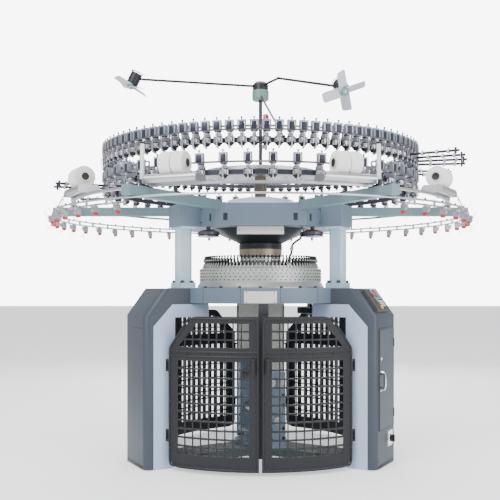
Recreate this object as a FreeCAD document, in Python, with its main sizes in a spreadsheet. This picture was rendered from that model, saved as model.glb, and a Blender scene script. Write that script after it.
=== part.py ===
import FreeCAD, Part
import math
import os
import re

import Sketcher

# Large-diameter circular knitting machine with positive yarn feeders.
# Frame: +Z up, origin on the floor at the machine's axis, -Y is the operator's side.
# A leg, arm or feeder is drawn pointing along +X and then turned about Z to its place.

os.makedirs("parts", exist_ok=True)
doc = FreeCAD.newDocument("KnittingMachine")
sheet = doc.addObject("Spreadsheet::Sheet", "Sizes")

SIZES = (
    ("leg_turn", 120, "angle from one leg to the next"),
    ("leg_first", -150, "heading of the left leg, from +X"),
    ("leg_inner", 540, "inner face of a leg, from the axis"),
    ("leg_outer", 1020, "end face of a leg, from the axis"),
    ("leg_half", 200, "half the width of a leg"),
    ("leg_top", 1245, "top of the leg covers"),
    ("slope_start", 1057, "height where the sloped top begins"),
    ("slope_inner", 881, "radius where the sloped top ends"),
    ("cover_wall", 4, "sheet thickness of the covers"),
    ("cover_lift", 4, "gap from the floor to the covers"),
    ("panel_skin", 4, "sheet thickness of the side panels"),
    ("cover_round", 50, "radius of the covers' upright corners"),
    ("panel_outer", 959, "outer edge of the side panels"),
    ("panel_top", 1135, "top of the side panels"),
    ("panel_slope_start", 985, "height where the side panel is cut off"),
    ("panel_slope_inner", 819, "radius where the side panel's cut ends"),
    ("hub_radius", 230, "hub of the base"),
    ("arm_half", 130, "half the width of a base arm"),
    ("base_height", 60, "height of the base casting"),
    ("arm_end", 930, "end of the base arms"),
    ("anchor_circle", 880, "radius of the anchor bolt circle"),
    ("anchor_hole", 9, "radius of an anchor bolt hole"),
    ("casting_inner", 600, "inner face of the leg casting"),
    ("casting_outer", 800, "outer edge of the leg casting's cheeks"),
    ("casting_half", 150, "half the width of the leg casting"),
    ("casting_wall", 20, "wall of the leg casting"),
    ("bed_radius", 710, "outside of the bed ring"),
    ("bed_bottom", 1142, "underside of the bed ring"),
    ("bed_top", 1249, "top of the bed ring"),
    ("bed_bore", 280, "bore of the bed ring's floor, for the fabric"),
    ("bed_floor", 18, "thickness of the bed ring's floor"),
    ("bed_lid", 20, "thickness of the bed ring's top plate"),
    ("gear_room", 500, "radius of the hollow for the gears"),
    ("seam_gap", 1, "gap between sheet metal and castings"),
    ("part_gap", 0.3, "gap between pieces that move past each other"),
    ("shaft_gap", 0.05, "radial clearance of a shaft in its bearing"),
    ("column_place", 649, "centre of a column, from the axis"),
    ("column_deep", 110, "column section along the radius"),
    ("column_wide", 90, "column section across the radius"),
    ("column_round", 22, "corner radius of the columns"),
    ("foot_wide", 190, "width of the column's foot"),
    ("foot_deep", 112, "depth of the column's foot"),
    ("foot_high", 36, "thickness of the column's foot"),
    ("cap_high", 15, "thickness of the column's top plate"),
    ("crown_bottom", 1690, "underside of the crown"),
    ("crown_top", 1845, "top of the crown"),
    ("crown_flat", 550, "distance from the axis to a flat of the crown"),
    ("crown_wall", 16, "wall of the crown casting"),
    ("crown_hole", 200, "radius of the hole under the crown"),
    ("lug_outer", 722, "outer end of the crown's lugs"),
    ("lug_half", 96, "half the width of a lug"),
    ("dome_radius", 320, "radius of the dome on the crown"),
    ("dome_top", 1930, "top of the dome"),
    ("dome_flat", 170, "radius of the flat on the dome"),
    ("dome_wall", 6, "sheet thickness of the dome"),
    ("funnel_top", 385, "radius of the dial housing at the crown"),
    ("funnel_neck", 190, "radius of the dial housing's neck"),
    ("funnel_low", 1600, "height of the neck"),
    ("rib_top", 1584, "top of the ribbed collar"),
    ("rib_outer", 170, "radius of the collar's ribs"),
    ("rib_inner", 162, "radius between the ribs"),
    ("rib_high", 7, "height of a rib"),
    ("housing_low", 1542, "underside of the dial housing"),
    ("dial_shaft", 40, "radius of the dial's shaft"),
    ("cap_radius", 165, "radius of the dial bearing cap"),
    ("cap_low", 1482, "underside of the dial bearing cap"),
    ("dial_radius", 375, "radius of the dial"),
    ("dial_low", 1405, "underside of the dial"),
    ("dial_thick", 20, "thickness of the dial"),
    ("cylinder_radius", 381, "needle cylinder, a thirty inch gauge circle"),
    ("cylinder_wall", 20, "wall of the needle cylinder"),
    ("cylinder_top", 1395, "top of the needle cylinder"),
    ("cylinder_seat", 1200, "top of the cylinder gear"),
    ("cylinder_bore", 300, "bore of the cylinder gear"),
    ("needle_gap", 4, "gap from the cylinder to the cam boxes"),
    ("cam_outer", 465, "outside of the cam boxes"),
    ("cam_low", 1293, "underside of the cam boxes"),
    ("cam_top", 1394, "top of the cam boxes"),
    ("cam_count", 76, "number of cam boxes"),
    ("cam_seam", 1.2, "gap between two cam boxes"),
    ("skirt_outer", 485, "foot of the cam ring"),
    ("guide_inner", 405, "inside of the yarn guide ring"),
    ("guide_outer", 431, "outside of the yarn guide ring"),
    ("guide_top", 1410, "top of the yarn guide ring"),
    ("carrier_count", 96, "number of yarn carriers"),
    ("carrier_top", 1469, "top of the yarn carriers"),
    ("carrier_wide", 11, "width of a yarn carrier"),
    ("tooth_module", 5, "module of the cylinder drive"),
    ("gear_teeth", 144, "teeth on the cylinder gear"),
    ("pinion_teeth", 24, "teeth on the pinion"),
    ("backlash", 0.5, "tooth thinning of each gear"),
    ("pinion_shaft_radius", 20, "radius of the pinion's shaft"),
    ("shaft_low", 1050, "lower end of the pinion's shaft"),
    ("belt_low", 1066, "lower edge of the drive belt"),
    ("belt_wide", 36, "width of the drive belt"),
    ("belt_thick", 6, "thickness of the drive belt"),
    ("driven_pulley", 85, "radius of the pulley on the pinion's shaft"),
    ("motor_pulley_radius", 60, "radius of the motor's pulley"),
    ("motor_place", 890, "centre of the motor, from the axis"),
    ("motor_radius", 84, "radius of the motor"),
    ("motor_low", 640, "underside of the motor"),
    ("motor_top", 985, "top of the motor"),
    ("motor_plate", 15, "thickness of the motor's plate"),
    ("gate_radius", 1126, "radius of the curved gates"),
    ("gate_centre", 311, "how far behind the axis the gates are struck from"),
    ("gate_turn", 33.8, "angle from the centre line to a gate hinge"),
    ("gate_thick", 28, "thickness of a gate"),
    ("gate_low", 27, "underside of the gates"),
    ("gate_top", 1058, "top of the gates"),
    ("gate_meet", 10, "half the gap where two gates meet"),
    ("gate_corner", 860, "height where a gate's outer corner is cut off"),
    ("gate_cut", 160, "width of that cut corner"),
    ("gate_round", 60, "corner radius of the gates"),
    ("hinge_clear", 13, "gap from the hinge line to the gate's edge"),
    ("frame_side", 47, "frame width at the hinge side"),
    ("frame_centre", 62, "frame width at the centre side"),
    ("window_low", 120, "bottom of the lower window"),
    ("window_high", 763, "top of the lower window"),
    ("upper_low", 846, "bottom of the upper window"),
    ("upper_high", 1017, "top of the upper window"),
    ("grid_across", 9, "grid cells across a gate"),
    ("grid_rows", 11, "grid rows of the lower window"),
    ("grid_upper_rows", 3, "grid rows of the upper window"),
    ("grid_bar", 8.5, "width of a grid bar"),
    ("knuckle_low", 235, "height of the lower hinges"),
    ("knuckle_high", 718, "height of the upper hinges"),
    ("knuckle_long", 60, "length of a hinge knuckle"),
    ("knuckle_radius", 10, "outside of a hinge knuckle"),
    ("pin_radius", 5, "radius of a hinge pin"),
    ("handle_low", 680, "bottom of the pull handles"),
    ("handle_high", 775, "top of the pull handles"),
    ("handle_place", 48, "pull handle's distance from the centre line"),
    ("handle_stand", 28, "how far a pull handle stands out"),
    ("post_low", 90, "lower end of the gate post"),
    ("takedown_place", 350, "centre of the take-down frame's columns"),
    ("takedown_half", 65, "half the width of a take-down column"),
    ("takedown_thick", 60, "thickness of a take-down column"),
    ("takedown_top", 640, "top of the take-down columns"),
    ("takedown_turn", -71.5, "heading of the take-down frame at rest"),
    ("turntable_radius", 200, "radius of the take-down's turntable"),
    ("turntable_high", 30, "thickness of the take-down's turntable"),
    ("beam_high", 40, "height of the take-down's cross beams"),
    ("pull_height", 560, "axis height of the pull rollers"),
    ("pull_radius", 32, "radius of the pull rollers"),
    ("nip_gap", 2, "gap between the two pull rollers, for the fabric"),
    ("batch_height", 290, "axis height of the batch roller"),
    ("batch_radius", 38, "radius of the batch roller"),
    ("journal_radius", 14, "radius of the rollers' journals"),
    ("arm_low", 1800, "underside of the creel arms"),
    ("arm_high", 1865, "top of the creel arms"),
    ("arm_wide", 60, "width of a creel arm"),
    ("arm_root", 590, "inner end of the creel arms, inside the crown's corners"),
    ("arm_reach", 1590, "outer end of the creel arms"),
    ("creel_count", 6, "number of creel arms"),
    ("ring_inner", 1108, "inside of the feeder rings"),
    ("ring_outer", 1132, "outside of the feeder rings"),
    ("ring_high", 30, "height of a feeder ring"),
    ("upper_ring", 2188, "top of the upper feeder ring"),
    ("lower_ring", 1990, "top of the lower feeder ring"),
    ("upper_feeders", 96, "feeders on the upper ring"),
    ("lower_feeders", 48, "feeders on the lower ring"),
    ("feeder_axis", 1160, "centre line of the feeder wheels"),
    ("feeder_half", 11, "half the width of a feeder's housing"),
    ("wheel_radius", 26, "radius of a feeder's yarn wheel"),
    ("pulley_radius", 25, "radius of a feeder's tape pulleys"),
    ("spindle_radius", 3, "radius of a feeder's spindle"),
    ("tape_thick", 1, "thickness of the drive tapes"),
    ("tape_wide", 13, "width of the drive tapes"),
    ("pole_foot", 45, "radius of the fan pole's foot"),
    ("disc_radius", 460, "radius of the tape wheel"),
    ("disc_low", 2100, "underside of the tape wheel"),
    ("disc_thick", 24, "thickness of the tape wheel"),
    ("pole_radius", 14, "radius of the fan pole"),
    ("pole_top", 2690, "top of the fan pole"),
    ("gearbox_radius", 64.5, "radius of the fan gearbox"),
    ("gearbox_high", 76, "height of the fan gearbox"),
    ("turret_top", 2831, "top of the fans' turret"),
    ("fan_rod", 9, "radius of the fan arms"),
    ("fan_reach", 150, "radius of a lint fan"),
    ("fan_motor_radius", 44, "radius of a fan motor"),
    ("fan_motor_long", 92, "length of a fan motor"),
    ("blade_count", 4, "blades on a fan"),
    ("outer_ring_inner", 1530, "inside of the stop-motion ring"),
    ("outer_ring_outer", 1550, "outside of the stop-motion ring"),
    ("outer_ring_low", 1758, "underside of the stop-motion ring"),
    ("stop_count", 48, "number of stop-motion units"),
    ("stop_reach", 1600, "outer face of the stop-motion units"),
    ("stop_low", 1692, "underside of the stop-motion units"),
    ("stop_half", 13, "half the width of a stop-motion unit"),
    ("support_inner", 1385, "inside of the package ring"),
    ("support_outer", 1415, "outside of the package ring"),
    ("support_high", 15, "height of the package ring"),
    ("roller_height", 1905, "axis height of the elastane rollers"),
    ("roller_radius", 28, "radius of the elastane rollers"),
    ("roller_spread", 45, "half the distance between the two rollers"),
    ("roller_half", 170, "half the length of the elastane rollers"),
    ("package_radius", 73, "radius of an elastane package"),
    ("package_half", 80, "half the length of an elastane package"),
    ("package_core", 32, "radius of a package's core"),
    ("unit_turn", 21.5, "angle from the centre line to the inner packages"),
    ("unit_turn_wide", 60, "angle from the centre line to the outer packages"),
    ("post_place", 1432, "radius where the white posts stand"),
    ("post_radius", 12, "radius of the creel's posts"),
    ("post_top", 2125, "top of the white posts"),
    ("rod_reach", 1530, "outer end of the yarn guide rods"),
    ("lamp_radius", 80, "radius of a work lamp"),
    ("lamp_place", 484, "distance of the work lamps from the axis"),
    ("tower_place", 42, "signal tower's distance from the pole"),
    ("tower_radius", 23, "radius of the signal tower"),
    ("panel_wide", 220, "width of the control panel"),
    ("panel_deep", 184, "depth of the control panel along the slope"),
    ("panel_thick", 26, "thickness of the control panel"),
    ("panel_shift", 50, "control panel's distance from the leg's middle"),
    ("button_radius", 14, "radius of a button"),
    ("button_travel", 4, "how far a button goes in"),
    ("button_proud", 9, "how far a button stands out"),
    ("switch_radius", 24, "radius of the main switch"),
    ("door_half", 140, "half the width of the cabinet door"),
    ("door_low", 262, "bottom of the cabinet door"),
    ("door_high", 966, "top of the cabinet door"),
    ("door_thick", 5, "thickness of the cabinet door"),
)
ALIASES = tuple(alias for alias, value, note in SIZES)
for row, (alias, value, note) in enumerate(SIZES, start=1):
    sheet.set("A%d" % row, note)
    sheet.set("B%d" % row, str(value))
    sheet.setAlias("B%d" % row, alias)
doc.recompute()

parts = {}


def bound(text):
    """Turn words from the sheet into references to its cells."""
    return re.sub(r"[a-z_]+",
                  lambda word: "Sizes." + word.group() if word.group() in ALIASES else word.group(), text)


def size(text):
    """The value of an expression, in millimetres or degrees."""
    return float(sheet.evalExpression(bound(text)))


def bind(thing, **expressions):
    """Tie an object's properties to the sheet."""
    for name, text in expressions.items():
        thing.setExpression(name, bound(text))


def heading(degrees, radius=0.0, height=0.0):
    """Placement that turns a piece about Z and moves it out along its own X."""
    turn = FreeCAD.Rotation(FreeCAD.Vector(0, 0, 1), degrees)
    return FreeCAD.Placement(turn.multVec(FreeCAD.Vector(radius, 0, height)), turn)


def part(thing, label):
    """Name an object as one of the machine's sub-parts."""
    thing.Label = label
    parts[label] = thing
    return thing


def new_body(name):
    return doc.addObject("PartDesign::Body", name)


def origin_plane(body, role):
    return next(plane for plane in body.Origin.OriginFeatures if plane.Role == role)


def outline(body, role, points):
    """Closed sketch through points given as pairs of expressions."""
    sketch = body.newObject("Sketcher::SketchObject", body.Name + "_outline")
    sketch.AttachmentSupport = [(origin_plane(body, role), "")]
    sketch.MapMode = "FlatFace"
    corners = [FreeCAD.Vector(size(across), size(up), 0) for across, up in points]
    count = len(corners)
    sketch.addGeometry([Part.LineSegment(corners[i], corners[(i + 1) % count]) for i in range(count)], False)
    rules = [Sketcher.Constraint("Coincident", i, 2, (i + 1) % count, 1) for i in range(count)]
    texts = [None] * count
    for i, (across, up) in enumerate(points):
        rules.append(Sketcher.Constraint("DistanceX", -1, 1, i, 1, size(across)))
        rules.append(Sketcher.Constraint("DistanceY", -1, 1, i, 1, size(up)))
        texts += [across, up]
    sketch.addConstraint(rules)
    for number, text in enumerate(texts):
        if text is not None and re.search("[a-z]", text):
            sketch.setExpression("Constraints[%d]" % number, bound(text))
    return sketch


def circle_outline(body, role, radius, centre=("0", "0")):
    """Sketch of one circle, its centre and radius tied to the sheet."""
    sketch = body.newObject("Sketcher::SketchObject", body.Name + "_circle")
    sketch.AttachmentSupport = [(origin_plane(body, role), "")]
    sketch.MapMode = "FlatFace"
    middle = FreeCAD.Vector(size(centre[0]), size(centre[1]), 0)
    sketch.addGeometry(Part.Circle(middle, FreeCAD.Vector(0, 0, 1), size(radius)), False)
    rules = (("DistanceX", centre[0]), ("DistanceY", centre[1]))
    for kind, text in rules:
        sketch.addConstraint(Sketcher.Constraint(kind, -1, 1, 0, 3, size(text)))
    sketch.addConstraint(Sketcher.Constraint("Radius", 0, size(radius)))
    for number, text in enumerate((centre[0], centre[1], radius)):
        if re.search("[a-z]", text):
            sketch.setExpression("Constraints[%d]" % number, bound(text))
    return sketch


def revolve(body, points):
    """Add a solid turned about Z from an outline in radius and height."""
    feature = body.newObject("PartDesign::Revolution", body.Name + "_turned")
    sketch = outline(body, "XZ_Plane", points)
    feature.Profile = sketch
    feature.ReferenceAxis = (sketch, ["V_Axis"])
    feature.Angle = 360
    return feature


def groove(body, points):
    """Turn an outline about Z out of the body."""
    sketch = outline(body, "XZ_Plane", points)
    feature = body.newObject("PartDesign::Groove", body.Name + "_groove")
    feature.Profile = sketch
    feature.ReferenceAxis = (sketch, ["V_Axis"])
    feature.Angle = 360
    return feature


def pad(body, sketch, length, symmetric=False, kind="PartDesign::Pad", flipped=False):
    """Pad or pocket a sketch by a length from the sheet."""
    feature = body.newObject(kind, body.Name + "_" + kind[12:].lower())
    feature.Profile = sketch
    feature.SideType = "Symmetric" if symmetric else "One side"
    feature.Reversed = flipped
    bind(feature, Length=length)
    return feature


def around(body, feature, count):
    """Repeat a feature about the body's own Z axis."""
    pattern = body.newObject("PartDesign::PolarPattern", body.Name + "_around")
    pattern.Originals = [feature]
    pattern.Axis = (origin_plane(body, "Z_Axis"), [""])
    pattern.Angle = 360
    bind(pattern, Occurrences=count)
    body.Tip = pattern
    return pattern


def fillet(body, feature, radius, wanted):
    """Round the edges of a feature that pass a test."""
    doc.recompute()
    edges = feature.Shape.Edges
    names = ["Edge%d" % (i + 1) for i in range(len(edges)) if wanted(edges[i])]
    rounded = body.newObject("PartDesign::Fillet", body.Name + "_rounded")
    rounded.Base = (feature, names)
    bind(rounded, Radius=radius)
    body.Tip = rounded
    return rounded


def upright(edge):
    """True for a straight edge along Z."""
    box = edge.BoundBox
    return box.ZLength > 1 and box.XLength < 0.01 and box.YLength < 0.01


def turned(label, points):
    """A sub-part turned about the machine's axis."""
    body = new_body(label)
    revolve(body, points)
    return part(body, label)


def cut_from(label, base, *tools):
    """Take tools out of a base, and return the object that holds the result."""
    tool = tools[0]
    if len(tools) > 1:
        tool = doc.addObject("Part::MultiFuse", label + "_tools")
        tool.Shapes = list(tools)
    result = doc.addObject("Part::Cut", label)
    result.Base = base
    result.Tool = tool
    return result


def box(name, low, high):
    """A block from its low corner to its high corner, each three expressions."""
    block = doc.addObject("Part::Box", name)
    bind(block, **{side: "(%s) - (%s)" % (high[i], low[i])
                   for i, side in enumerate(("Length", "Width", "Height"))})
    bind(block, **{"Placement.Base." + axis: "0 + (%s)" % low[i] for i, axis in enumerate("xyz")})
    return block


def rod(name, radius, low, high):
    """An upright cylinder on the axis."""
    piece = doc.addObject("Part::Cylinder", name)
    bind(piece, Radius=radius, Height="(%s) - (%s)" % (high, low))
    bind(piece, **{"Placement.Base.z": "0 + (%s)" % low})
    return piece


def group(label, shapes):
    """A sub-part of several separate solids, set with Part's own functions."""
    holder = doc.addObject("Part::Feature", label)
    holder.Shape = Part.makeCompound(list(shapes))
    return part(holder, label)


def placed(shape, placement):
    """A copy of a shape, moved to a place."""
    copy = shape.copy()
    copy.Placement = placement.multiply(copy.Placement)
    return copy


def plate(points, half):
    """A plate standing on an outline in radius and height, half of it to each side of the radius."""
    corners = [FreeCAD.Vector(across, -half, up) for across, up in points]
    return Part.Face(Part.makePolygon(corners + corners[:1])).extrude(FreeCAD.Vector(0, 2 * half, 0))


def turned_shape(points):
    """A solid turned about Z from points in radius and height."""
    corners = [FreeCAD.Vector(across, 0, up) for across, up in points]
    face = Part.Face(Part.makePolygon(corners + corners[:1]))
    return face.revolve(FreeCAD.Vector(0, 0, 0), FreeCAD.Vector(0, 0, 1), 360)


def bar(start, end, radius):
    """A round bar from one point to another."""
    start = FreeCAD.Vector(*start)
    along = FreeCAD.Vector(*end) - start
    return Part.makeCylinder(radius, along.Length, start, along)


def block(low, high):
    """A block between two corners."""
    return Part.makeBox(*(high[i] - low[i] for i in range(3)), FreeCAD.Vector(*low))


SIDES = ("left", "right", "rear")
LEG_HEADINGS = {side: size("leg_first") + i * size("leg_turn") for i, side in enumerate(SIDES)}


# Base: one casting, a hub with an arm under each leg and an anchor hole in each arm.

base = new_body("base_spider")
hub = revolve(base, (("0", "0"), ("hub_radius", "0"), ("hub_radius", "base_height"), ("0", "base_height")))
arm_outline = outline(base, "XY_Plane", (
    ("0", "-arm_half"), ("arm_end", "-arm_half"), ("arm_end", "arm_half"), ("0", "arm_half")))
around(base, pad(base, arm_outline, "base_height"), "360 / leg_turn")
anchor = circle_outline(base, "XY_Plane", "anchor_hole", ("anchor_circle", "0"))
around(base, pad(base, anchor, "base_height", kind="PartDesign::Pocket", flipped=True), "360 / leg_turn")
base.Placement = heading(size("leg_first"))
part(base, "base_spider")


# Legs: a channel casting under the bed, inside a sheet metal cover with light side panels.

def leg_casting(side):
    """Channel casting that carries the bed, with a slot in its web for the drive belt."""
    body = new_body("casting_" + side)
    channel = outline(body, "XY_Plane", (
        ("casting_inner", "-casting_half"), ("casting_outer", "-casting_half"),
        ("casting_outer", "casting_wall - casting_half"),
        ("casting_inner + casting_wall", "casting_wall - casting_half"),
        ("casting_inner + casting_wall", "casting_half - casting_wall"),
        ("casting_outer", "casting_half - casting_wall"),
        ("casting_outer", "casting_half"), ("casting_inner", "casting_half")))
    raised = pad(body, channel, "bed_bottom - base_height")
    channel.AttachmentOffset = FreeCAD.Placement(FreeCAD.Vector(0, 0, 0), FreeCAD.Rotation())
    bind(channel, **{"AttachmentOffset.Base.z": "base_height + 0"})
    body.Tip = raised
    slot = box("casting_slot_" + side, ("casting_inner - casting_wall", "-driven_pulley - belt_thick",
                                        "shaft_low - 10"),
               ("casting_inner + 2 * casting_wall", "driven_pulley + belt_thick", "bed_bottom - 20"))
    casting = cut_from("leg_" + side, body, slot)
    casting.Placement = heading(LEG_HEADINGS[side])
    return part(casting, "leg_" + side)


def leg_cover(side):
    """Sheet metal box over a leg, open at the bottom and where the bed ring sits in its top."""
    body = new_body("cover_body_" + side)
    skin = "(leg_half - panel_skin)"
    profile = (("leg_inner", "cover_lift"), ("leg_outer", "cover_lift"), ("leg_outer", "slope_start"),
               ("slope_inner", "leg_top"), ("leg_inner", "leg_top"))
    shell = pad(body, outline(body, "XZ_Plane", profile), "2 * " + skin, symmetric=True)

    def outer_corner(edge):
        bounds = edge.BoundBox
        return bounds.YLength < 0.01 and bounds.ZLength > 50 and bounds.XMax > size("leg_outer") - 1
    rounded = fillet(body, shell, "cover_round", outer_corner)
    inside = (("leg_inner + cover_wall", "0"), ("leg_outer - cover_wall", "0"),
              ("leg_outer - cover_wall", "slope_start - cover_wall / 2"),
              ("slope_inner - cover_wall / 2", "leg_top - cover_wall"),
              ("leg_inner + cover_wall", "leg_top - cover_wall"))
    hollow = new_body("cover_inside_" + side)
    room = pad(hollow, outline(hollow, "XZ_Plane", inside), "2 * (%s - cover_wall)" % skin, symmetric=True)

    def inner_corner(edge):
        bounds = edge.BoundBox
        return bounds.YLength < 0.01 and bounds.ZLength > 50 and bounds.XMax > size("leg_outer - cover_wall") - 1
    fillet(hollow, room, "cover_round - cover_wall", inner_corner)
    arm_slot = box("arm_slot_" + side, ("leg_inner - cover_wall", "-arm_half - seam_gap", "-1"),
                   ("leg_inner + 2 * cover_wall", "arm_half + seam_gap", "base_height + seam_gap"))
    belt_slot = box("belt_slot_" + side, ("leg_inner - cover_wall", "-driven_pulley - 3 * belt_thick",
                                          "shaft_low - 10"),
                    ("leg_inner + 2 * cover_wall", "driven_pulley + 3 * belt_thick", "bed_bottom"))
    bed_room = rod("bed_room_" + side, "bed_radius + seam_gap", "bed_bottom - seam_gap", "leg_top + 10")
    cover = cut_from("leg_cover_" + side, body, hollow, arm_slot, belt_slot, bed_room)
    cover.Placement = heading(LEG_HEADINGS[side])
    return part(cover, "leg_cover_" + side)


for leg_side in SIDES:
    leg_casting(leg_side)
    leg_cover(leg_side)

side_panel = new_body("side_panel")
pad(side_panel, outline(side_panel, "XZ_Plane", (
    ("leg_inner", "cover_lift"), ("panel_outer", "cover_lift"), ("panel_outer", "panel_slope_start"),
    ("panel_slope_inner", "panel_top"), ("leg_inner", "panel_top"))), "panel_skin")
doc.recompute()
panel_shapes = []
for leg_heading in LEG_HEADINGS.values():
    for offset in (size("panel_skin - leg_half"), size("leg_half")):
        shifted = FreeCAD.Placement(FreeCAD.Vector(0, offset, 0), FreeCAD.Rotation())
        panel_shapes.append(placed(side_panel.Shape, heading(leg_heading).multiply(shifted)))
group("side_panels", panel_shapes)


# Bed ring: floor, outer wall and top plate round a hollow for the gears; the fabric drops through its bore.

bed = new_body("bed_ring")
revolve(bed, (
    ("bed_bore", "bed_bottom"), ("bed_radius", "bed_bottom"), ("bed_radius", "bed_top"),
    ("cylinder_radius + needle_gap", "bed_top"), ("cylinder_radius + needle_gap", "bed_top - bed_lid"),
    ("gear_room", "bed_top - bed_lid"), ("gear_room", "bed_bottom + bed_floor"),
    ("bed_bore", "bed_bottom + bed_floor")))
DRIVE_HEADING = LEG_HEADINGS["right"]
PINION_PLACE = size("tooth_module * (gear_teeth + pinion_teeth) / 2")
bearing = doc.addObject("Part::Cylinder", "pinion_bearing")
bind(bearing, Radius="pinion_shaft_radius + shaft_gap", Height="2 * bed_floor")
bearing.Placement = heading(DRIVE_HEADING, PINION_PLACE, size("bed_bottom - bed_floor / 2"))
part(cut_from("bored_bed", bed, bearing), "bed_ring")


# Columns: three posts from the bed to the crown, each with a foot and a top plate.

def column(side):
    """Cast post with rounded corners."""
    body = new_body("column_" + side)

    def section(deep, wide):
        inner, outer = "column_place - %s / 2" % deep, "column_place + %s / 2" % deep
        return ((inner, "-%s / 2" % wide), (outer, "-%s / 2" % wide), (outer, "%s / 2" % wide),
                (inner, "%s / 2" % wide))

    def slab(deep, wide, low, high):
        sketch = outline(body, "XY_Plane", section(deep, wide))
        bind(sketch, **{"AttachmentOffset.Base.z": "0 + " + low})
        return pad(body, sketch, "%s - (%s)" % (high, low))
    shaft = slab("column_deep", "column_wide", "bed_top", "crown_bottom")
    fillet(body, shaft, "column_round", upright)
    slab("foot_deep", "foot_wide", "bed_top", "bed_top + foot_high")
    body.Tip = slab("foot_deep", "foot_wide", "(crown_bottom - cap_high)", "crown_bottom")
    body.Placement = heading(LEG_HEADINGS[side])
    return body


column_bodies = [column(leg_side) for leg_side in SIDES]
columns = doc.addObject("Part::Compound", "columns")
columns.Links = column_bodies
part(columns, "columns")


# Crown: hollow hexagonal casting with a lug over each column, a dome on top and the dial's housing below.

crown = new_body("crown_beam")
CROWN_CORNERS = [("crown_flat / cos(30) * cos(%d)" % angle, "crown_flat / cos(30) * sin(%d)" % angle)
                 for angle in range(0, 360, 60)]
hexagon = outline(crown, "XY_Plane", CROWN_CORNERS)
bind(hexagon, **{"AttachmentOffset.Base.z": "0 + crown_bottom"})
pad(crown, hexagon, "crown_top - crown_bottom")
lug_outline = outline(crown, "XY_Plane", (
    ("0", "-lug_half"), ("lug_outer", "-lug_half"), ("lug_outer", "lug_half"), ("0", "lug_half")))
bind(lug_outline, **{"AttachmentOffset.Base.z": "0 + crown_bottom"})
lug_outline.AttachmentOffset = FreeCAD.Placement(
    lug_outline.AttachmentOffset.Base, FreeCAD.Rotation(FreeCAD.Vector(0, 0, 1), size("leg_first")))
around(crown, pad(crown, lug_outline, "crown_top - crown_bottom"), "360 / leg_turn")
groove(crown, (
    ("0", "crown_bottom + crown_wall"), ("crown_flat - 2 * crown_wall", "crown_bottom + crown_wall"),
    ("crown_flat - 2 * crown_wall", "crown_top - crown_wall"), ("0", "crown_top - crown_wall")))
mouth = rod("crown_mouth", "crown_hole", "crown_bottom - 1", "crown_bottom + 2 * crown_wall")
crown_cut = cut_from("open_crown", crown, mouth)
part(crown_cut, "crown_beam")

turned("crown_dome", (
    ("pole_foot + part_gap", "dome_top - dome_wall"), ("dome_flat - dome_wall", "dome_top - dome_wall"),
    ("(dome_flat + dome_radius) / 2", "dome_top - 3.4 * dome_wall"),
    ("dome_radius - 3 * dome_wall", "crown_top + 4 * dome_wall"),
    ("dome_radius - dome_wall", "crown_top"), ("dome_radius", "crown_top"),
    ("dome_radius - 2 * dome_wall", "crown_top + 5 * dome_wall"),
    ("(dome_flat + dome_radius) / 2 + dome_wall", "dome_top - 2.4 * dome_wall"),
    ("dome_flat", "dome_top"), ("pole_foot + part_gap", "dome_top")))

housing_points = [
    ("dial_shaft + shaft_gap", "housing_low"), ("rib_inner", "housing_low")]
for rib in range(3):
    low = "housing_low + %d * rib_high" % (2 * rib)
    high = "housing_low + %d * rib_high" % (2 * rib + 1)
    housing_points += [("rib_inner", low), ("rib_outer", low), ("rib_outer", high), ("rib_inner", high)]
housing_points = housing_points[:1] + housing_points[2:] + [
    ("rib_inner", "rib_top"), ("funnel_neck", "funnel_low"), ("funnel_top", "crown_bottom - 4"),
    ("funnel_top", "crown_bottom"), ("dial_shaft + shaft_gap", "crown_bottom")]
turned("dial_housing", housing_points)

turned("dial_cap", (
    ("dial_shaft + shaft_gap", "cap_low"), ("cap_radius - 8", "cap_low"), ("cap_radius", "cap_low + 8"),
    ("cap_radius", "housing_low"), ("dial_shaft + shaft_gap", "housing_low")))

turned("dial", (
    ("0", "dial_low"), ("dial_radius - 10", "dial_low"), ("dial_radius", "dial_low + 8"),
    ("dial_radius", "dial_low + dial_thick"), ("250", "dial_low + dial_thick + 20"),
    ("150", "dial_low + dial_thick + 20"), ("150", "cap_low - part_gap"),
    ("dial_shaft", "cap_low - part_gap"),
    ("dial_shaft", "crown_bottom - 20"), ("0", "crown_bottom - 20")))


# Knitting head: needle cylinder on its gear, cam boxes around it, guide ring and yarn carriers on top.

turned("needle_cylinder", (
    ("cylinder_bore", "cylinder_seat"), ("cylinder_radius", "cylinder_seat"),
    ("cylinder_radius", "cylinder_top"),
    ("cylinder_radius - cylinder_wall", "cylinder_top"),
    ("cylinder_radius - cylinder_wall", "cylinder_seat + 15"),
    ("cylinder_bore", "cylinder_seat + 15")))
turned("cam_ring", (
    ("cylinder_radius + needle_gap", "bed_top"), ("skirt_outer", "bed_top"), ("skirt_outer", "bed_top + 8"),
    ("cam_outer", "cam_low"), ("cylinder_radius + needle_gap", "cam_low")))
turned("guide_ring", (
    ("guide_inner", "cam_top"), ("guide_outer", "cam_top"), ("guide_outer", "guide_top"),
    ("guide_inner", "guide_top")))


def cam_box():
    """One wedge of the cam ring, with its outer top edge taken off."""
    slope = math.tan(math.radians(size("180 / cam_count")))
    inner, outer = size("cylinder_radius + needle_gap"), size("cam_outer")
    corners = [(inner, -1), (outer, -1), (outer, 1), (inner, 1)]
    points = [FreeCAD.Vector(r, side * (r * slope - size("cam_seam / 2")), size("cam_low"))
              for r, side in corners]
    rise = FreeCAD.Vector(0, 0, size("cam_top - cam_low"))
    wedge = Part.Face(Part.makePolygon(points + points[:1])).extrude(rise)
    edge = max(wedge.Edges, key=lambda one: one.CenterOfMass.z * 10 + one.CenterOfMass.x)
    return wedge.makeChamfer(6, [edge])


def ring_of(shape, count, first=0.0):
    """Copies of a shape at even headings."""
    return [placed(shape, heading(first + 360.0 * i / count)) for i in range(count)]


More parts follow.
